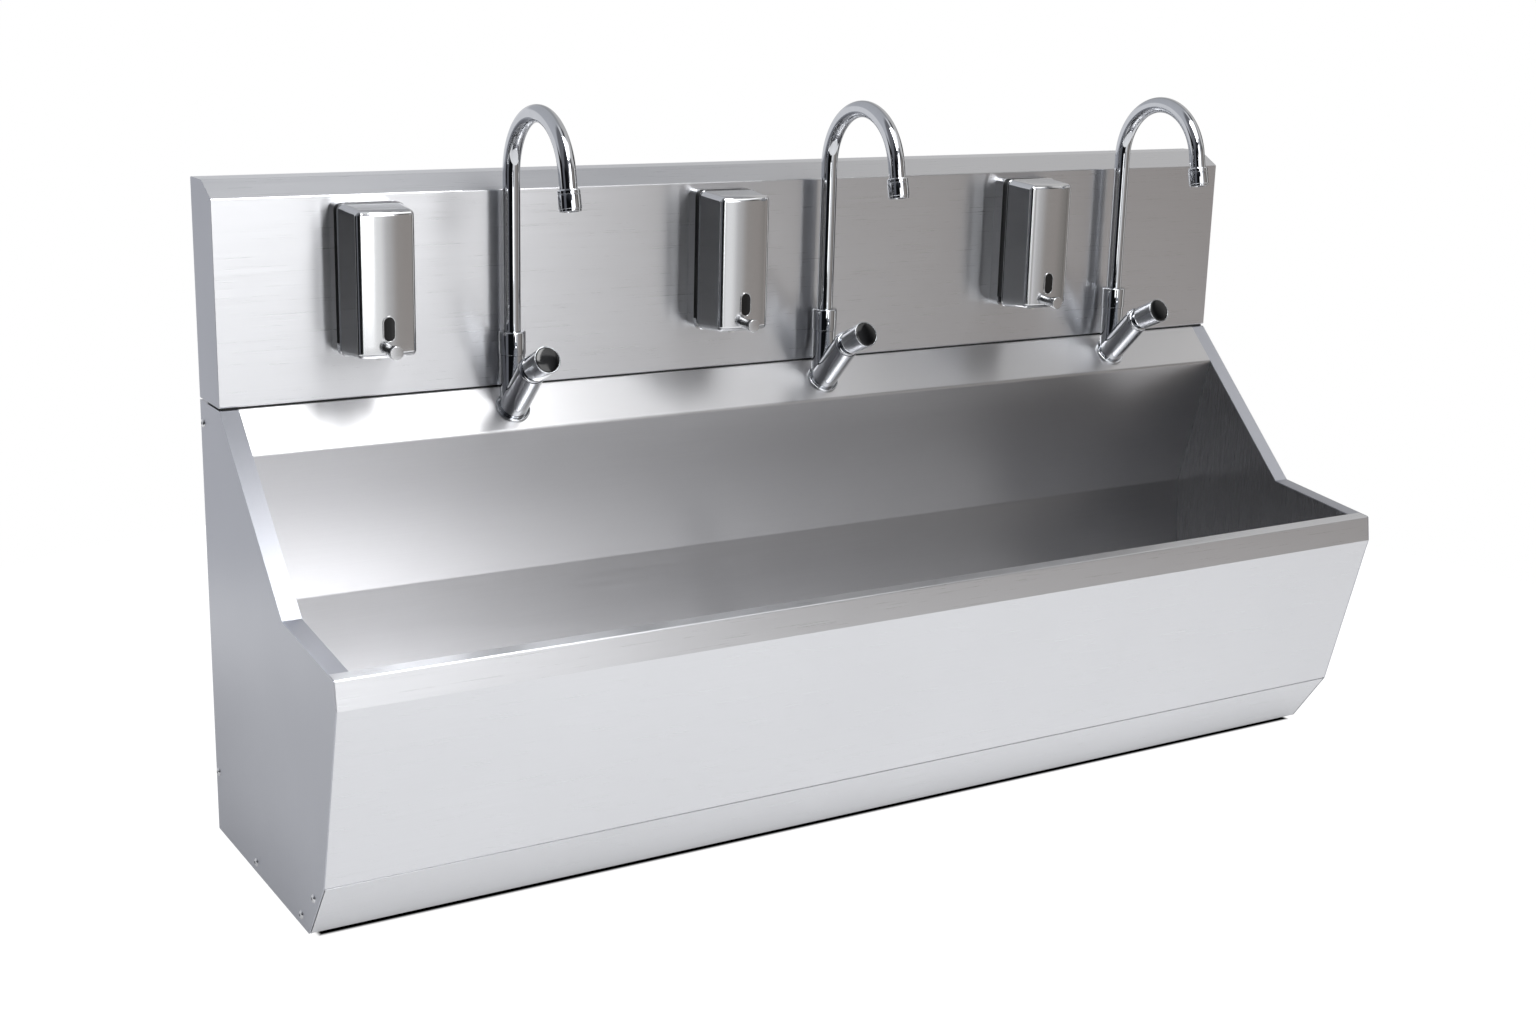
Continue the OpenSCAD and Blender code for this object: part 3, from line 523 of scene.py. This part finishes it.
# %% Collars, knobs and discs
collar_r, collar_h = 19.5, 34.0
free, bore_l = 0.05, 22.0  # play round the tube and the neck, and the depth of the knob's bore
knob_r, knob_l, knob_back, cap_r = 20.0, 46.0, 12.0, 17.9

for station, x in zip(stations, tap_xs):
    seat = at(x, seat_y, seat_z)
    bend = seat + barrel_axis * barrel_l * MM
    bore_r, foot_r = tube_r + free, collar_r - 0.9
    collar = [(bore_r, 0.2), (foot_r, 0.2), (foot_r, 1.0), (collar_r, 1.3), (collar_r, collar_h)]
    collar = rounded(collar + [(bore_r, collar_h), (bore_r, 0.2)], [0, 0, 0.2, 2.2, 0.5])
    collar_foot = seat + Vector((0, 0, branch_h * MM))
    ring = joined(station + "_collar_fine", [spun(collar[:-1], collar_foot, (0, 0, 1), True)], 35)
    keep(ring, "sink", chrome, "tap_chrome", station + "_tap_collar")

    knob_foot = bend + head_axis * knob_back * MM
    bore_r, seat_r, floor_l = neck_r + free, cap_r + 0.25, knob_l - 6
    cup = [(0, bore_l), (bore_r, bore_l), (bore_r, 0), (knob_r - 4, 0), (knob_r, 4), (knob_r, knob_l)]
    cup = rounded(cup + [(seat_r, knob_l), (seat_r, floor_l), (0, floor_l)], [0, 0.2, 1.0, 6.0, 0.8, 0.5, 0])
    knob = joined(station + "_knob_fine", [spun(cup, knob_foot, head_axis)], 35)
    keep(knob, station + "_knob_body", chrome, "tap_chrome", station + "_knob")

    disc = [(0, knob_l - 5.5), (cap_r, knob_l - 5.5), (cap_r, knob_l - 0.4)]
    for share in (0.98, 0.94, 0.88, 0.78, 0.64, 0.5, 0.36, 0.2):
        a = share * pi / 2
        disc.append((cap_r * sin(a), knob_l - 0.4 + 1.4 * cos(a)))
    face = joined(station + "_knob_disc_fine", [spun(disc + [(0, knob_l + 1.0)], knob_foot, head_axis)], 45)
    keep(face, station + "_knob_body", black_abs, "black_plastic", station + "_knob_cap")
print("collars, knobs and discs made")

# %% [markdown]
# ## The swivel spouts
# A spout is one 25 mm tube bent over a former: straight up out of the collar, round an arc of 168.5 degrees,
# and a short tail. Its route is written as points with their directions, and rings are set square to it. The
# tube is hollow, so that looking up at the outlet shows its bore.

# %% Spouts
arc_r, arc_a, arc_z = 91.0, radians(168.5), 430.0 - 91.0
tail_l, outlet_l, outlet_r, wall = 52.0, 30.0, 16.0, 1.5
arc_n = 144


def spout_route(foot):
    """Points and directions of the spout's middle line, from the collar to the outlet."""
    route = [(Vector((0, 0, foot + (arc_z - foot) * k / 6)), Vector((0, 0, 1))) for k in range(6)]
    for k in range(arc_n + 1):
        a = arc_a * k / arc_n
        route.append((Vector((0, -arc_r + arc_r * cos(a), arc_z + arc_r * sin(a))), Vector((0, -sin(a), cos(a)))))
    end, aim = route[-1]
    return route + [(end + aim * (tail_l - outlet_l + 4), aim)]


def tube(route, origin, outer, inner, steps=96):
    """A hollow tube along a route in the plane across the sink."""
    form = bmesh.new()
    rows = []
    for radius, way in ((outer, route), (inner, route[::-1])):
        for point, aim in way:
            side, over = Vector((1, 0, 0)), aim.cross(Vector((1, 0, 0)))
            row = []
            for k in range(steps):
                a = 2 * pi * k / steps
                spoke = (side * cos(a) + over * sin(a)) * radius
                row.append(form.verts.new(origin + (point + spoke) * MM))
            rows.append(row)
    for a, b in zip(rows, rows[1:] + rows[:1]):
        for k in range(steps):
            form.faces.new([a[k], a[(k + 1) % steps], b[(k + 1) % steps], b[k]])
    bmesh.ops.recalc_face_normals(form, faces=form.faces)
    return form


# The outlet head from its back: a sleeve, a fine groove, the head, and the mouth with its step inside.
sleeve_r, groove_r, mouth_r = outlet_r - 0.2, outlet_r - 0.7, outlet_r - 0.8
outlet_shape = [(outlet_r - 1.0, 0.2), (sleeve_r, 2.0), (sleeve_r, 6.0), (groove_r, 6.4), (groove_r, 7.2)]
outlet_shape += [(outlet_r, 7.6), (outlet_r, outlet_l - 4.2), (mouth_r, outlet_l - 3.6), (mouth_r, outlet_l)]
outlet_shape += [(12.0, outlet_l), (12.0, outlet_l - 3), (8.0, outlet_l - 3), (8.0, 4.5), (12.6, 4.5), (12.6, 0.2)]
outlet_edges = [0.8, 0.3, 0.2, 0.2, 0.3, 0.4, 0.3, 0.6, 0.3, 0, 0, 0, 0]
for station, x in zip(stations, tap_xs):
    seat = at(x, seat_y, seat_z)
    pipe = joined(station + "_spout_fine", [tube(spout_route(spout_foot), seat, tube_r, tube_r - wall)], 40)
    keep(pipe, station + "_spout_body", chrome, "tap_chrome", station + "_spout")
    end, aim = spout_route(0)[-2]
    mouth = seat + (end + aim * (tail_l - outlet_l)) * MM
    shell = rounded(outlet_shape, outlet_edges, 4)
    head = joined(station + "_outlet_fine", [spun(shell, mouth, aim, True)], 35)
    keep(head, station + "_spout_body", chrome, "tap_chrome", station + "_outlet")
print("spouts and outlets made")

# %% [markdown]
# ## The dispenser covers
# A cover is deep-drawn from thin steel: a shallow tapered box with a rounded front edge and a front that bulges
# gently from side to side. It is lofted: rounded rectangles step forward from the back rim, shrink through the
# edge's quarter round, and end in a grid that carries the bulge. A raised slot rim frames the level window.

# %% Dispenser covers
case_w, case_h, cover_back, cover_front = 98.0, 211.0, 32.4, 89.4
taper_x, taper_z, edge_r, bulge, window_z = 6.0, 4.0, 9.0, 3.6, 45.0
case_foot, button_z = 69, 16.0  # the case above the trough's top, the button above the case's foot
front_x = case_w / 2 - taper_x - edge_r
across_n, tall_n, corner_n = 28, 20, 7


def forward(i, x, d, z):
    """A place on dispenser i: from its middle, forward from the backsplash, up from its foot."""
    return at(dispenser_xs[i] + x, -splash_d - d, top_h + case_foot + z)


def swell(x):
    """How far the front bulges at x."""
    return bulge * (1 - min(1, abs(x) / front_x) ** 2)


def frame_row(half_w, z0, z1, r):
    """Points of a rounded rectangle, with the same count on each side and corner."""
    row = []
    x, low, high = half_w - r, z0 + r, z1 - r
    spots = [(x, high, 0), (-x, high, 90), (-x, low, 180), (x, low, 270)]
    for c, (cx, cz, a0) in enumerate(spots):
        for k in range(corner_n + 1):
            a = radians(a0 + 90 * k / corner_n)
            row.append((cx + r * cos(a), cz + r * sin(a)))
        nx, nz, na = spots[(c + 1) % 4]
        a = radians(na)
        stop = (nx + r * cos(a), nz + r * sin(a))
        n = across_n if c % 2 == 0 else tall_n
        start = row[-1]
        for k in range(1, n):
            row.append((start[0] + (stop[0] - start[0]) * k / n, start[1] + (stop[1] - start[1]) * k / n))
    return row


def cover_shell(i):
    """The cover's outer skin with its raised front."""
    rows = [(cover_back, 0.6, 0.6, 10, 0), (cover_back + 0.5, 0, 0, 10, 0), (cover_back + 1.8, 0, 0, 10, 0)]
    rows += [(cover_back + 2.6, 0.8, 0.8, 9.6, 0)]
    rows += [(cover_back + 2 + 46 * t, 0.8 + 5.2 * t, 0.8 + 3.2 * t, 9.6 - 0.6 * t, t) for t in (0.25, 0.5, 0.75)]
    for k in range(13):
        a = pi / 2 * k / 12
        back, inward = edge_r * (1 - sin(a)), edge_r * (1 - cos(a))
        rows.append((cover_front - back, taper_x + inward, taper_z + inward, edge_r * cos(a), 1))
    form = bmesh.new()
    made = []
    for d, inset_x, inset_z, r, share in rows:
        ring = frame_row(case_w / 2 - inset_x, inset_z, case_h - inset_z, r)
        made.append([form.verts.new(forward(i, x, d + swell(x) * share, z)) for x, z in ring])
    for a, b in zip(made, made[1:]):
        for k in range(len(a)):
            form.faces.new([a[k], a[(k + 1) % len(a)], b[(k + 1) % len(a)], b[k]])
    z0, z1 = taper_z + edge_r, case_h - taper_z - edge_r
    heights = [z0 + (z1 - z0) * j / tall_n for j in range(tall_n + 1)]
    grid = [
        [form.verts.new(forward(i, x, cover_front + swell(x), z)) for z in heights]
        for x in (-front_x + 2 * front_x * k / across_n for k in range(across_n + 1))
    ]
    for a, b in zip(grid, grid[1:]):
        for j in range(tall_n):
            form.faces.new([a[j], b[j], b[j + 1], a[j + 1]])
    bmesh.ops.remove_doubles(form, verts=form.verts, dist=0.000005)
    bmesh.ops.holes_fill(form, edges=[e for e in form.edges if e.is_boundary])
    bmesh.ops.recalc_face_normals(form, faces=form.faces)
    return form


def slot_rim(i, half, reach, d0, d1, thick, solid=False):
    """A rounded rim round the upright window slot, or a solid lens in it, from depth d0 to d1."""
    steps = 16
    path = []
    for c, a0 in ((1, 0), (-1, 180)):
        for k in range(steps + 1):
            a = radians(a0 + 180 * k / steps)
            path.append((cos(a), c * reach, sin(a)))
    form = bmesh.new()
    outline = (
        [(half - 1.2, d1 - 0.1), (half - 0.4, d1), (half, d1 - 0.3), (half, d0)]
        if solid
        else rounded([(half - thick, d0), (half - thick, d1), (half, d1), (half, d0)], [0.5, 0.5], 4)
    )
    rows = [
        [form.verts.new(forward(i, cx * off, d, window_z + mid + cz * off)) for cx, mid, cz in path]
        for off, d in outline
    ]
    closing = [] if solid else [(rows[-1], rows[0])]
    for a, b in list(zip(rows, rows[1:])) + closing:
        for k in range(len(a)):
            form.faces.new([a[k], a[(k + 1) % len(a)], b[(k + 1) % len(a)], b[k]])
    if solid:
        form.faces.new(rows[0])
        form.faces.new(rows[-1])
    bmesh.ops.recalc_face_normals(form, faces=form.faces)
    return form


for i, station in enumerate(stations):
    shell = joined(station + "_cover_fine", [cover_shell(i), slot_rim(i, 9.5, 9.0, 91.0, 94.0, 1.9)], 35)
    keep(shell, station + "_cover_body", case_steel, "dispenser_steel", station + "_cover")
    lens_form = joined(station + "_window_fine", [slot_rim(i, 7.7, 9.0, 91.5, 93.75, 0, True)], 35)
    keep(lens_form, station + "_cover_body", window_glass, "black_plastic", station + "_window")
    stem = [(0, 79.0), (7.75, 79.0), (7.75, 110.3), (9.75, 110.3), (9.75, 119.4), (0, 119.4)]
    stem = rounded(stem, [0.3, 0.2, 0.5, 0.9], 4)
    axis_foot = forward(i, 0, 0, button_z)
    press = joined(station + "_button_fine", [spun(stem, axis_foot, (0, -1, 0), steps=64)], 35)
    keep(press, station + "_button_body", satin_steel, "polished_steel", station + "_button")
    print(station, "cover", len(shell.data.polygons), "faces")

# %% [markdown]
# ## Screws and base rings
# Ten button-head screws hold the end panels, five at each end, and each tap stands in a rounded base ring.
# They repeat, so Geometry Nodes place them: points mark the spots, one turned part is copied to each and turned
# to face outwards, and the copies are made real before the material is set.


# %% Copy a turned part to marked points
def repeated(name, part, spots, aims, size, finish):
    """Copy a part, made along +Z, to each spot, facing its aim."""
    marks = bpy.data.meshes.new(name)
    marks.from_pydata([tuple(spot) for spot in spots], [], [])
    facing = marks.attributes.new("facing", "FLOAT_VECTOR", "POINT")
    for k, aim in enumerate(aims):
        facing.data[k].vector = Vector(aim).normalized()
    piece = bpy.data.objects.new(name, marks)
    bpy.context.collection.objects.link(piece)

    tree = bpy.data.node_groups.new(name + " copies", "GeometryNodeTree")
    tree.interface.new_socket("Geometry", in_out="INPUT", socket_type="NodeSocketGeometry")
    part_in = tree.interface.new_socket("Turned part", in_out="INPUT", socket_type="NodeSocketObject")
    size_in = tree.interface.new_socket("Size", in_out="INPUT", socket_type="NodeSocketFloat")
    look_in = tree.interface.new_socket("Finish", in_out="INPUT", socket_type="NodeSocketMaterial")
    tree.interface.new_socket("Geometry", in_out="OUTPUT", socket_type="NodeSocketGeometry")
    given = add(tree, "NodeGroupInput")
    shape = add(tree, "GeometryNodeObjectInfo", {"Object": given.outputs["Turned part"]})
    aim = add(tree, "GeometryNodeInputNamedAttribute", {"Name": "facing"}, data_type="FLOAT_VECTOR")
    turned = add(tree, "FunctionNodeAlignRotationToVector", {"Vector": aim.outputs["Attribute"]}, axis="Z")
    placed = add(
        tree,
        "GeometryNodeInstanceOnPoints",
        {
            "Points": given.outputs["Geometry"],
            "Instance": shape.outputs["Geometry"],
            "Rotation": turned.outputs["Rotation"],
            "Scale": given.outputs["Size"],
        },
    )
    real = add(tree, "GeometryNodeRealizeInstances", {"Geometry": placed.outputs[0]})
    looked = add(
        tree,
        "GeometryNodeSetMaterial",
        {"Geometry": real.outputs[0], "Material": given.outputs["Finish"]},
    )
    add(tree, "NodeGroupOutput", {"Geometry": looked.outputs[0]})
    copies = piece.modifiers.new("copies", "NODES")
    copies.node_group = tree
    copies[part_in.identifier], copies[size_in.identifier] = part, size
    copies[look_in.identifier] = finish
    settle(piece)
    bpy.data.objects.remove(part)
    return piece


# A button head with its hexagon socket, made along +Z with its seat at the origin.
head_r, head_h, socket_r, flank = 6.25, 3.28, 2.2, 1.5
dome = [
    (head_r * sin(t), head_h * (cos(t) - cos(flank)) / (1 - cos(flank)))
    for t in (0.42, 0.65, 0.9, 1.15, 1.35, flank)
]
screw_outline = [(0, head_h - 1.8), (socket_r, head_h - 1.8), (socket_r, head_h - 0.42)] + dome + [(0, 0.0)]
screw = joined("screw", [spun(screw_outline, Vector((0, 0, 0)), (0, 0, 1), steps=48)], 40)

foot_y, crease_y, crease_z, inset = 394, 457, 89, 16
chamfer = Vector((crease_y - foot_y, -crease_z)).normalized()
side_spots = [(-12, 93.2), (-12, 615.3), (-176.9, inset), (-366, inset)]
drop = 0.42  # share of the chamfer that lies above its screw
side_spots += [
    (-crease_y + drop * (crease_y - foot_y) - inset * chamfer.y, crease_z * (1 - drop) + inset * chamfer.x)
]
spots = [at(x, y, z) for x in (0, length) for y, z in side_spots]
aims = [(-1, 0, 0)] * 5 + [(1, 0, 0)] * 5
screws = repeated("side_screws_fine", screw, spots, aims, 1.0, satin_steel)
keep(screws, "sink", satin_steel, record_slots["panel_screws"], "panel_screws")

ring_outline = rounded([(21.05, 0.05), (26, 0.05), (26, 4), (21.05, 4), (21.05, 0.05)], [0.3, 1.9, 0.8], 6)
ring = joined("ring", [spun(ring_outline[:-1], Vector((0, 0, 0)), (0, 0, 1), True)], 50)
seats = [at(x, seat_y, seat_z) for x in tap_xs]
rings = repeated("base_rings_fine", ring, seats, [barrel_axis] * 3, 1.0, chrome)
keep(rings, "sink", chrome, record_slots["tap_base_rings"], "tap_base_rings")
print("screws", len(screws.data.polygons), "faces, rings", len(rings.data.polygons), "faces")

# %% [markdown]
# ## The rest of the pieces
# Seals, back boxes, the soap tanks, and the waste and supply pipes keep their measured shape. Each gets a
# stitched copy with its edges broken by the radius its process leaves, and its own finish.

# %% Back boxes, seals, tanks and pipes
rest = {
    "splash_seal": (rubber, 0.3),
    "waste_strainer": (satin_steel, 0.25),
    "waste_body": (waste_plastic, 0.4),
    "trap": (waste_plastic, 0.4),
    "waste_pipe": (waste_plastic, 0.4),
    "supply_pipe": (brass, 0.2),
    "supply_inlet": (brass, 0.3),
    "union_nuts": (brass, 0.4),
    "tap_backnuts": (brass, 0.4),
}
# The back box's front is set 4 mm further back, so that the dark gap behind the cover shows.
behind_gap = (at(0, -splash_d - 25.4, 0).y, at(0, -splash_d - 22, 0).y, 4 * MM)
for station in stations:
    rest[station + "_dispenser_back"] = (case_steel, 1.0, behind_gap)
    rest[station + "_gasket"] = (rubber, 0.6, behind_gap)
    rest[station + "_reservoir"] = (tank_plastic, 0.6, behind_gap)
for name, (finish, *cut) in rest.items():
    keep(softened(name, *cut), "sink", finish, record_slots[name], name)
print("left over:", [n for n in nodes if n not in rest and n not in sheets and not nodes[n].hide_render])

# %% [markdown]
# ## The floor
# The photograph shows a white studio. Its floor runs into the white background. Under the trough a thin dark line of
# shadow is painted into the floor: its colour turns black there and it stops glowing for the camera. The floor lies
# 5 mm below the trough, which hangs on the wall. The camera sees it white where it is clear of the trough, mirrors
# see it partly lit, and its far edge melts into the white.


# %% Floor
floor_r, floor_gap = 2.0, 5 * MM
foot_half = Vector((length - 30, foot_y, 0)) / 2 * MM
glow_strength, mirror_share, clear_share = 1.15, 0.35, 0.9


def pale_floor():
    """A round pale floor with a painted shadow under the trough, where its colour is black and it does not glow for
    the camera.
    """
    form = bmesh.new()
    bmesh.ops.create_circle(form, cap_ends=True, segments=96, radius=floor_r)
    floor = as_object("floor", form)
    material = bpy.data.materials.new("pale studio floor")
    material.use_nodes = True
    tree = material.node_tree
    tree.nodes.clear()
    rays = add(tree, "ShaderNodeLightPath")
    glow = add(tree, "ShaderNodeEmission", {"Color": shade("#FFFFFF"), "Strength": glow_strength})
    mirrored = add(
        tree,
        "ShaderNodeMath",
        {0: rays.outputs["Is Glossy Ray"], 1: rays.outputs["Is Transmission Ray"]},
        operation="MAXIMUM",
    )
    mirrored = add(tree, "ShaderNodeMath", {0: mirrored.outputs[0], 1: mirror_share}, operation="MULTIPLY")
    place = add(tree, "ShaderNodeTexCoord").outputs["Object"]
    middle = at(length / 2, -foot_half.y / MM, 0)
    off = add(tree, "ShaderNodeVectorMath", {0: place, 1: middle}, operation="SUBTRACT")
    off = add(tree, "ShaderNodeVectorMath", {0: off.outputs[0]}, operation="ABSOLUTE")
    off = add(tree, "ShaderNodeVectorMath", {0: off.outputs[0], 1: foot_half}, operation="SUBTRACT")
    off = add(tree, "ShaderNodeSeparateXYZ", {"Vector": off.outputs[0]})
    off = add(tree, "ShaderNodeMath", {0: off.outputs["X"], 1: off.outputs["Y"]}, operation="MAXIMUM")
    # Painted shadow: under the trough the floor's colour goes to black and its glow for the camera is cut; clear of
    # it the colour is pale grey.
    clear = add(
        tree,
        "ShaderNodeMapRange",
        {"Value": off.outputs[0], "From Min": -3 * MM, "From Max": 6 * MM, "To Max": clear_share},
        interpolation_type="SMOOTHSTEP",
    )
    painted_shadow_diffuse = add(tree, "ShaderNodeBsdfDiffuse", {"Color": clear.outputs[0]})
    share = add(
        tree,
        "ShaderNodeMath",
        {0: rays.outputs["Is Camera Ray"], 1: clear.outputs[0], 2: mirrored.outputs[0]},
        operation="MULTIPLY_ADD",
    )
    spot = add(tree, "ShaderNodeVectorMath", {0: place}, operation="LENGTH")
    edge = add(
        tree,
        "ShaderNodeMapRange",
        {"Value": spot.outputs["Value"], "From Min": 0.55 * floor_r, "From Max": 0.95 * floor_r},
        interpolation_type="SMOOTHSTEP",
    )
    share = add(tree, "ShaderNodeMath", {0: share.outputs[0], 1: edge.outputs[0]}, operation="MAXIMUM")
    both = add(tree, "ShaderNodeMixShader", {0: share.outputs[0], 1: painted_shadow_diffuse.outputs[0], 2: glow.outputs[0]})
    add(tree, "ShaderNodeOutputMaterial", {"Surface": both.outputs[0]})
    floor.data.materials.append(material)
    floor.location.z = -floor_gap


pale_floor()
print("floor radius", floor_r)

# %% [markdown]
# ## The room
# Polished metal is only as good as what it reflects, so light and mirrors see another room than the camera, which
# sees plain white. Four bands of tones make it: high up in front, overhead, high up behind, and all round low down.
# Each band has its own tones from left to right. The dark ones are upright flags that draw the dark bands in the
# chrome, and soft steps join the bands.


# %% World
def room():
    """White for the camera, and the four bands for light and mirrors."""
    world = bpy.data.worlds.new("studio")
    bpy.context.scene.world = world
    world.use_nodes = True
    tree = world.node_tree
    tree.nodes.clear()
    way = add(tree, "ShaderNodeTexCoord").outputs["Generated"]
    parts = add(tree, "ShaderNodeSeparateXYZ", {"Vector": way}).outputs
    bearing = add(tree, "ShaderNodeMath", {0: parts["X"], 1: parts["Y"]}, operation="ARCTAN2")
    shown = None
    for value, half, stops, axis, start, stop in (
        (parts["X"], 1.0, front_stops, "Y", -1, -1),
        (parts["X"], 1.0, top_stops, "Y", -0.68, -0.46),
        (parts["X"], 1.0, back_stops, "Y", -0.10, 0.10),
        (bearing.outputs[0], pi, round_stops, "Z", 0.36, 0.22),
    ):
        spread = add(tree, "ShaderNodeMapRange", {"Value": value, "From Min": -half, "From Max": half})
        tones = add(tree, "ShaderNodeValToRGB", {"Fac": spread.outputs[0]})
        ramp = tones.color_ramp
        ramp.interpolation = "EASE"
        ramp.elements.remove(ramp.elements[1])
        for k, (place, tone) in enumerate(stops):
            stop_here = ramp.elements.new(place) if k else ramp.elements[0]
            stop_here.position, stop_here.color = place, shade(tone)
        if shown is None:
            shown = tones.outputs[0]
            continue
        share = add(
            tree,
            "ShaderNodeMapRange",
            {"Value": parts[axis], "From Min": start, "From Max": stop},
            interpolation_type="SMOOTHSTEP",
        )
        shown = add(
            tree, "ShaderNodeMix", {"Factor": share.outputs[0], 6: shown, 7: tones.outputs[0]}, data_type="RGBA"
        ).outputs[2]
    soft = add(tree, "ShaderNodeBackground", {"Color": shown, "Strength": 1.0})
    plain = add(tree, "ShaderNodeBackground", {"Color": shade("#FFFFFF"), "Strength": 1.0})
    rays = add(tree, "ShaderNodeLightPath")
    both = add(
        tree,
        "ShaderNodeMixShader",
        {0: rays.outputs["Is Camera Ray"], 1: soft.outputs[0], 2: plain.outputs[0]},
    )
    add(tree, "ShaderNodeOutputWorld", {"Surface": both.outputs[0]})


# High up in front, overhead and high up behind: 0 is the far left, 0.5 straight ahead and 1 the far right.
front_stops = [(0.0, "#242529"), (0.40, "#3A3B40"), (0.54, "#B8B9BD"), (0.70, "#B8B9BD")]
front_stops += [(0.80, "#343230"), (1.0, "#1C1B1A")]
top_stops = [(0.0, "#7C7D82"), (0.48, "#7C7D82"), (0.53, "#F4F5F7"), (0.63, "#F4F5F7")]
top_stops += [(0.68, "#58585A"), (0.78, "#58585A"), (0.82, "#E2E1E0"), (1.0, "#E2E1E0")]
back_stops = [(0.0, "#CED0D6"), (0.58, "#C4C6CB"), (0.64, "#B2B3B6"), (0.73, "#B2B3B6")]
back_stops += [(0.78, "#D2D1D0"), (1.0, "#D2D1D0")]
# Low down, bearings run from 0 at -Y round by -X (0.25), +Y (0.5), +X (0.75) and back to -Y (1).
round_stops = [
    (0.0, "#FFFFFF"),
    (0.010, "#FFFFFF"),
    (0.034, "#101113"),
    (0.155, "#101113"),
    (0.175, "#6E7076"),
    (0.215, "#6E7076"),
    (0.24, "#0E0E10"),
    (0.30, "#18181A"),
    (0.33, "#F4F5F8"),
    (0.50, "#EDEEF2"),
    (0.56, "#D2D2D4"),
    (0.61, "#CACACB"),
    (0.66, "#B4B2AF"),
    (0.69, "#2C2B2A"),
    (0.74, "#2C2B2A"),
    (0.76, "#EFEDEA"),
    (0.79, "#EFEDEA"),
    (0.81, "#23211F"),
    (0.835, "#8E8A86"),
    (0.875, "#A39D99"),
    (0.91, "#A39E9A"),
    (0.94, "#C6C5C5"),
    (0.965, "#FFFFFF"),
]
room()
print("tones", len(front_stops) + len(top_stops) + len(back_stops) + len(round_stops))

# %% [markdown]
# ## The lamps
# Four soft lamps stand out of the camera's sight: a bright strip and a weaker fill overhead, a lamp in front that
# aims at the trough's left end, and an upright strip far in front for the bright line on tubes and covers.


# %% Lamps
def softbox(name, spot, target, wide, tall, power):
    """A soft area lamp that looks at a target."""
    light = bpy.data.lights.new(name, "AREA")
    light.shape, light.size, light.size_y, light.energy = "RECTANGLE", wide, tall, power
    lamp = bpy.data.objects.new(name, light)
    bpy.context.collection.objects.link(lamp)
    lamp.location = spot
    lamp.visible_camera = False
    lamp.rotation_euler = (Vector(target) - Vector(spot)).to_track_quat("-Z", "Y").to_euler()


softbox("overhead strip", (0.10, -1.75, 2.9), (0.10, -1.75, 0.5), 0.9, 2.2, 55)
softbox("overhead fill", (1.0, -1.5, 2.9), (1.0, -1.5, 0.5), 1.6, 1.8, 13)
softbox("left key", (0.45, -3.2, 2.0), (-0.6, -0.2, 0.3), 1.3, 1.3, 14)
softbox("front strip", (-0.65, -3.5, 1.1), (-0.65, 0, 0.7), 0.7, 1.7, 9)
bpy.context.scene.view_settings.view_transform = "Standard"
print("lamps", len(bpy.data.lights))
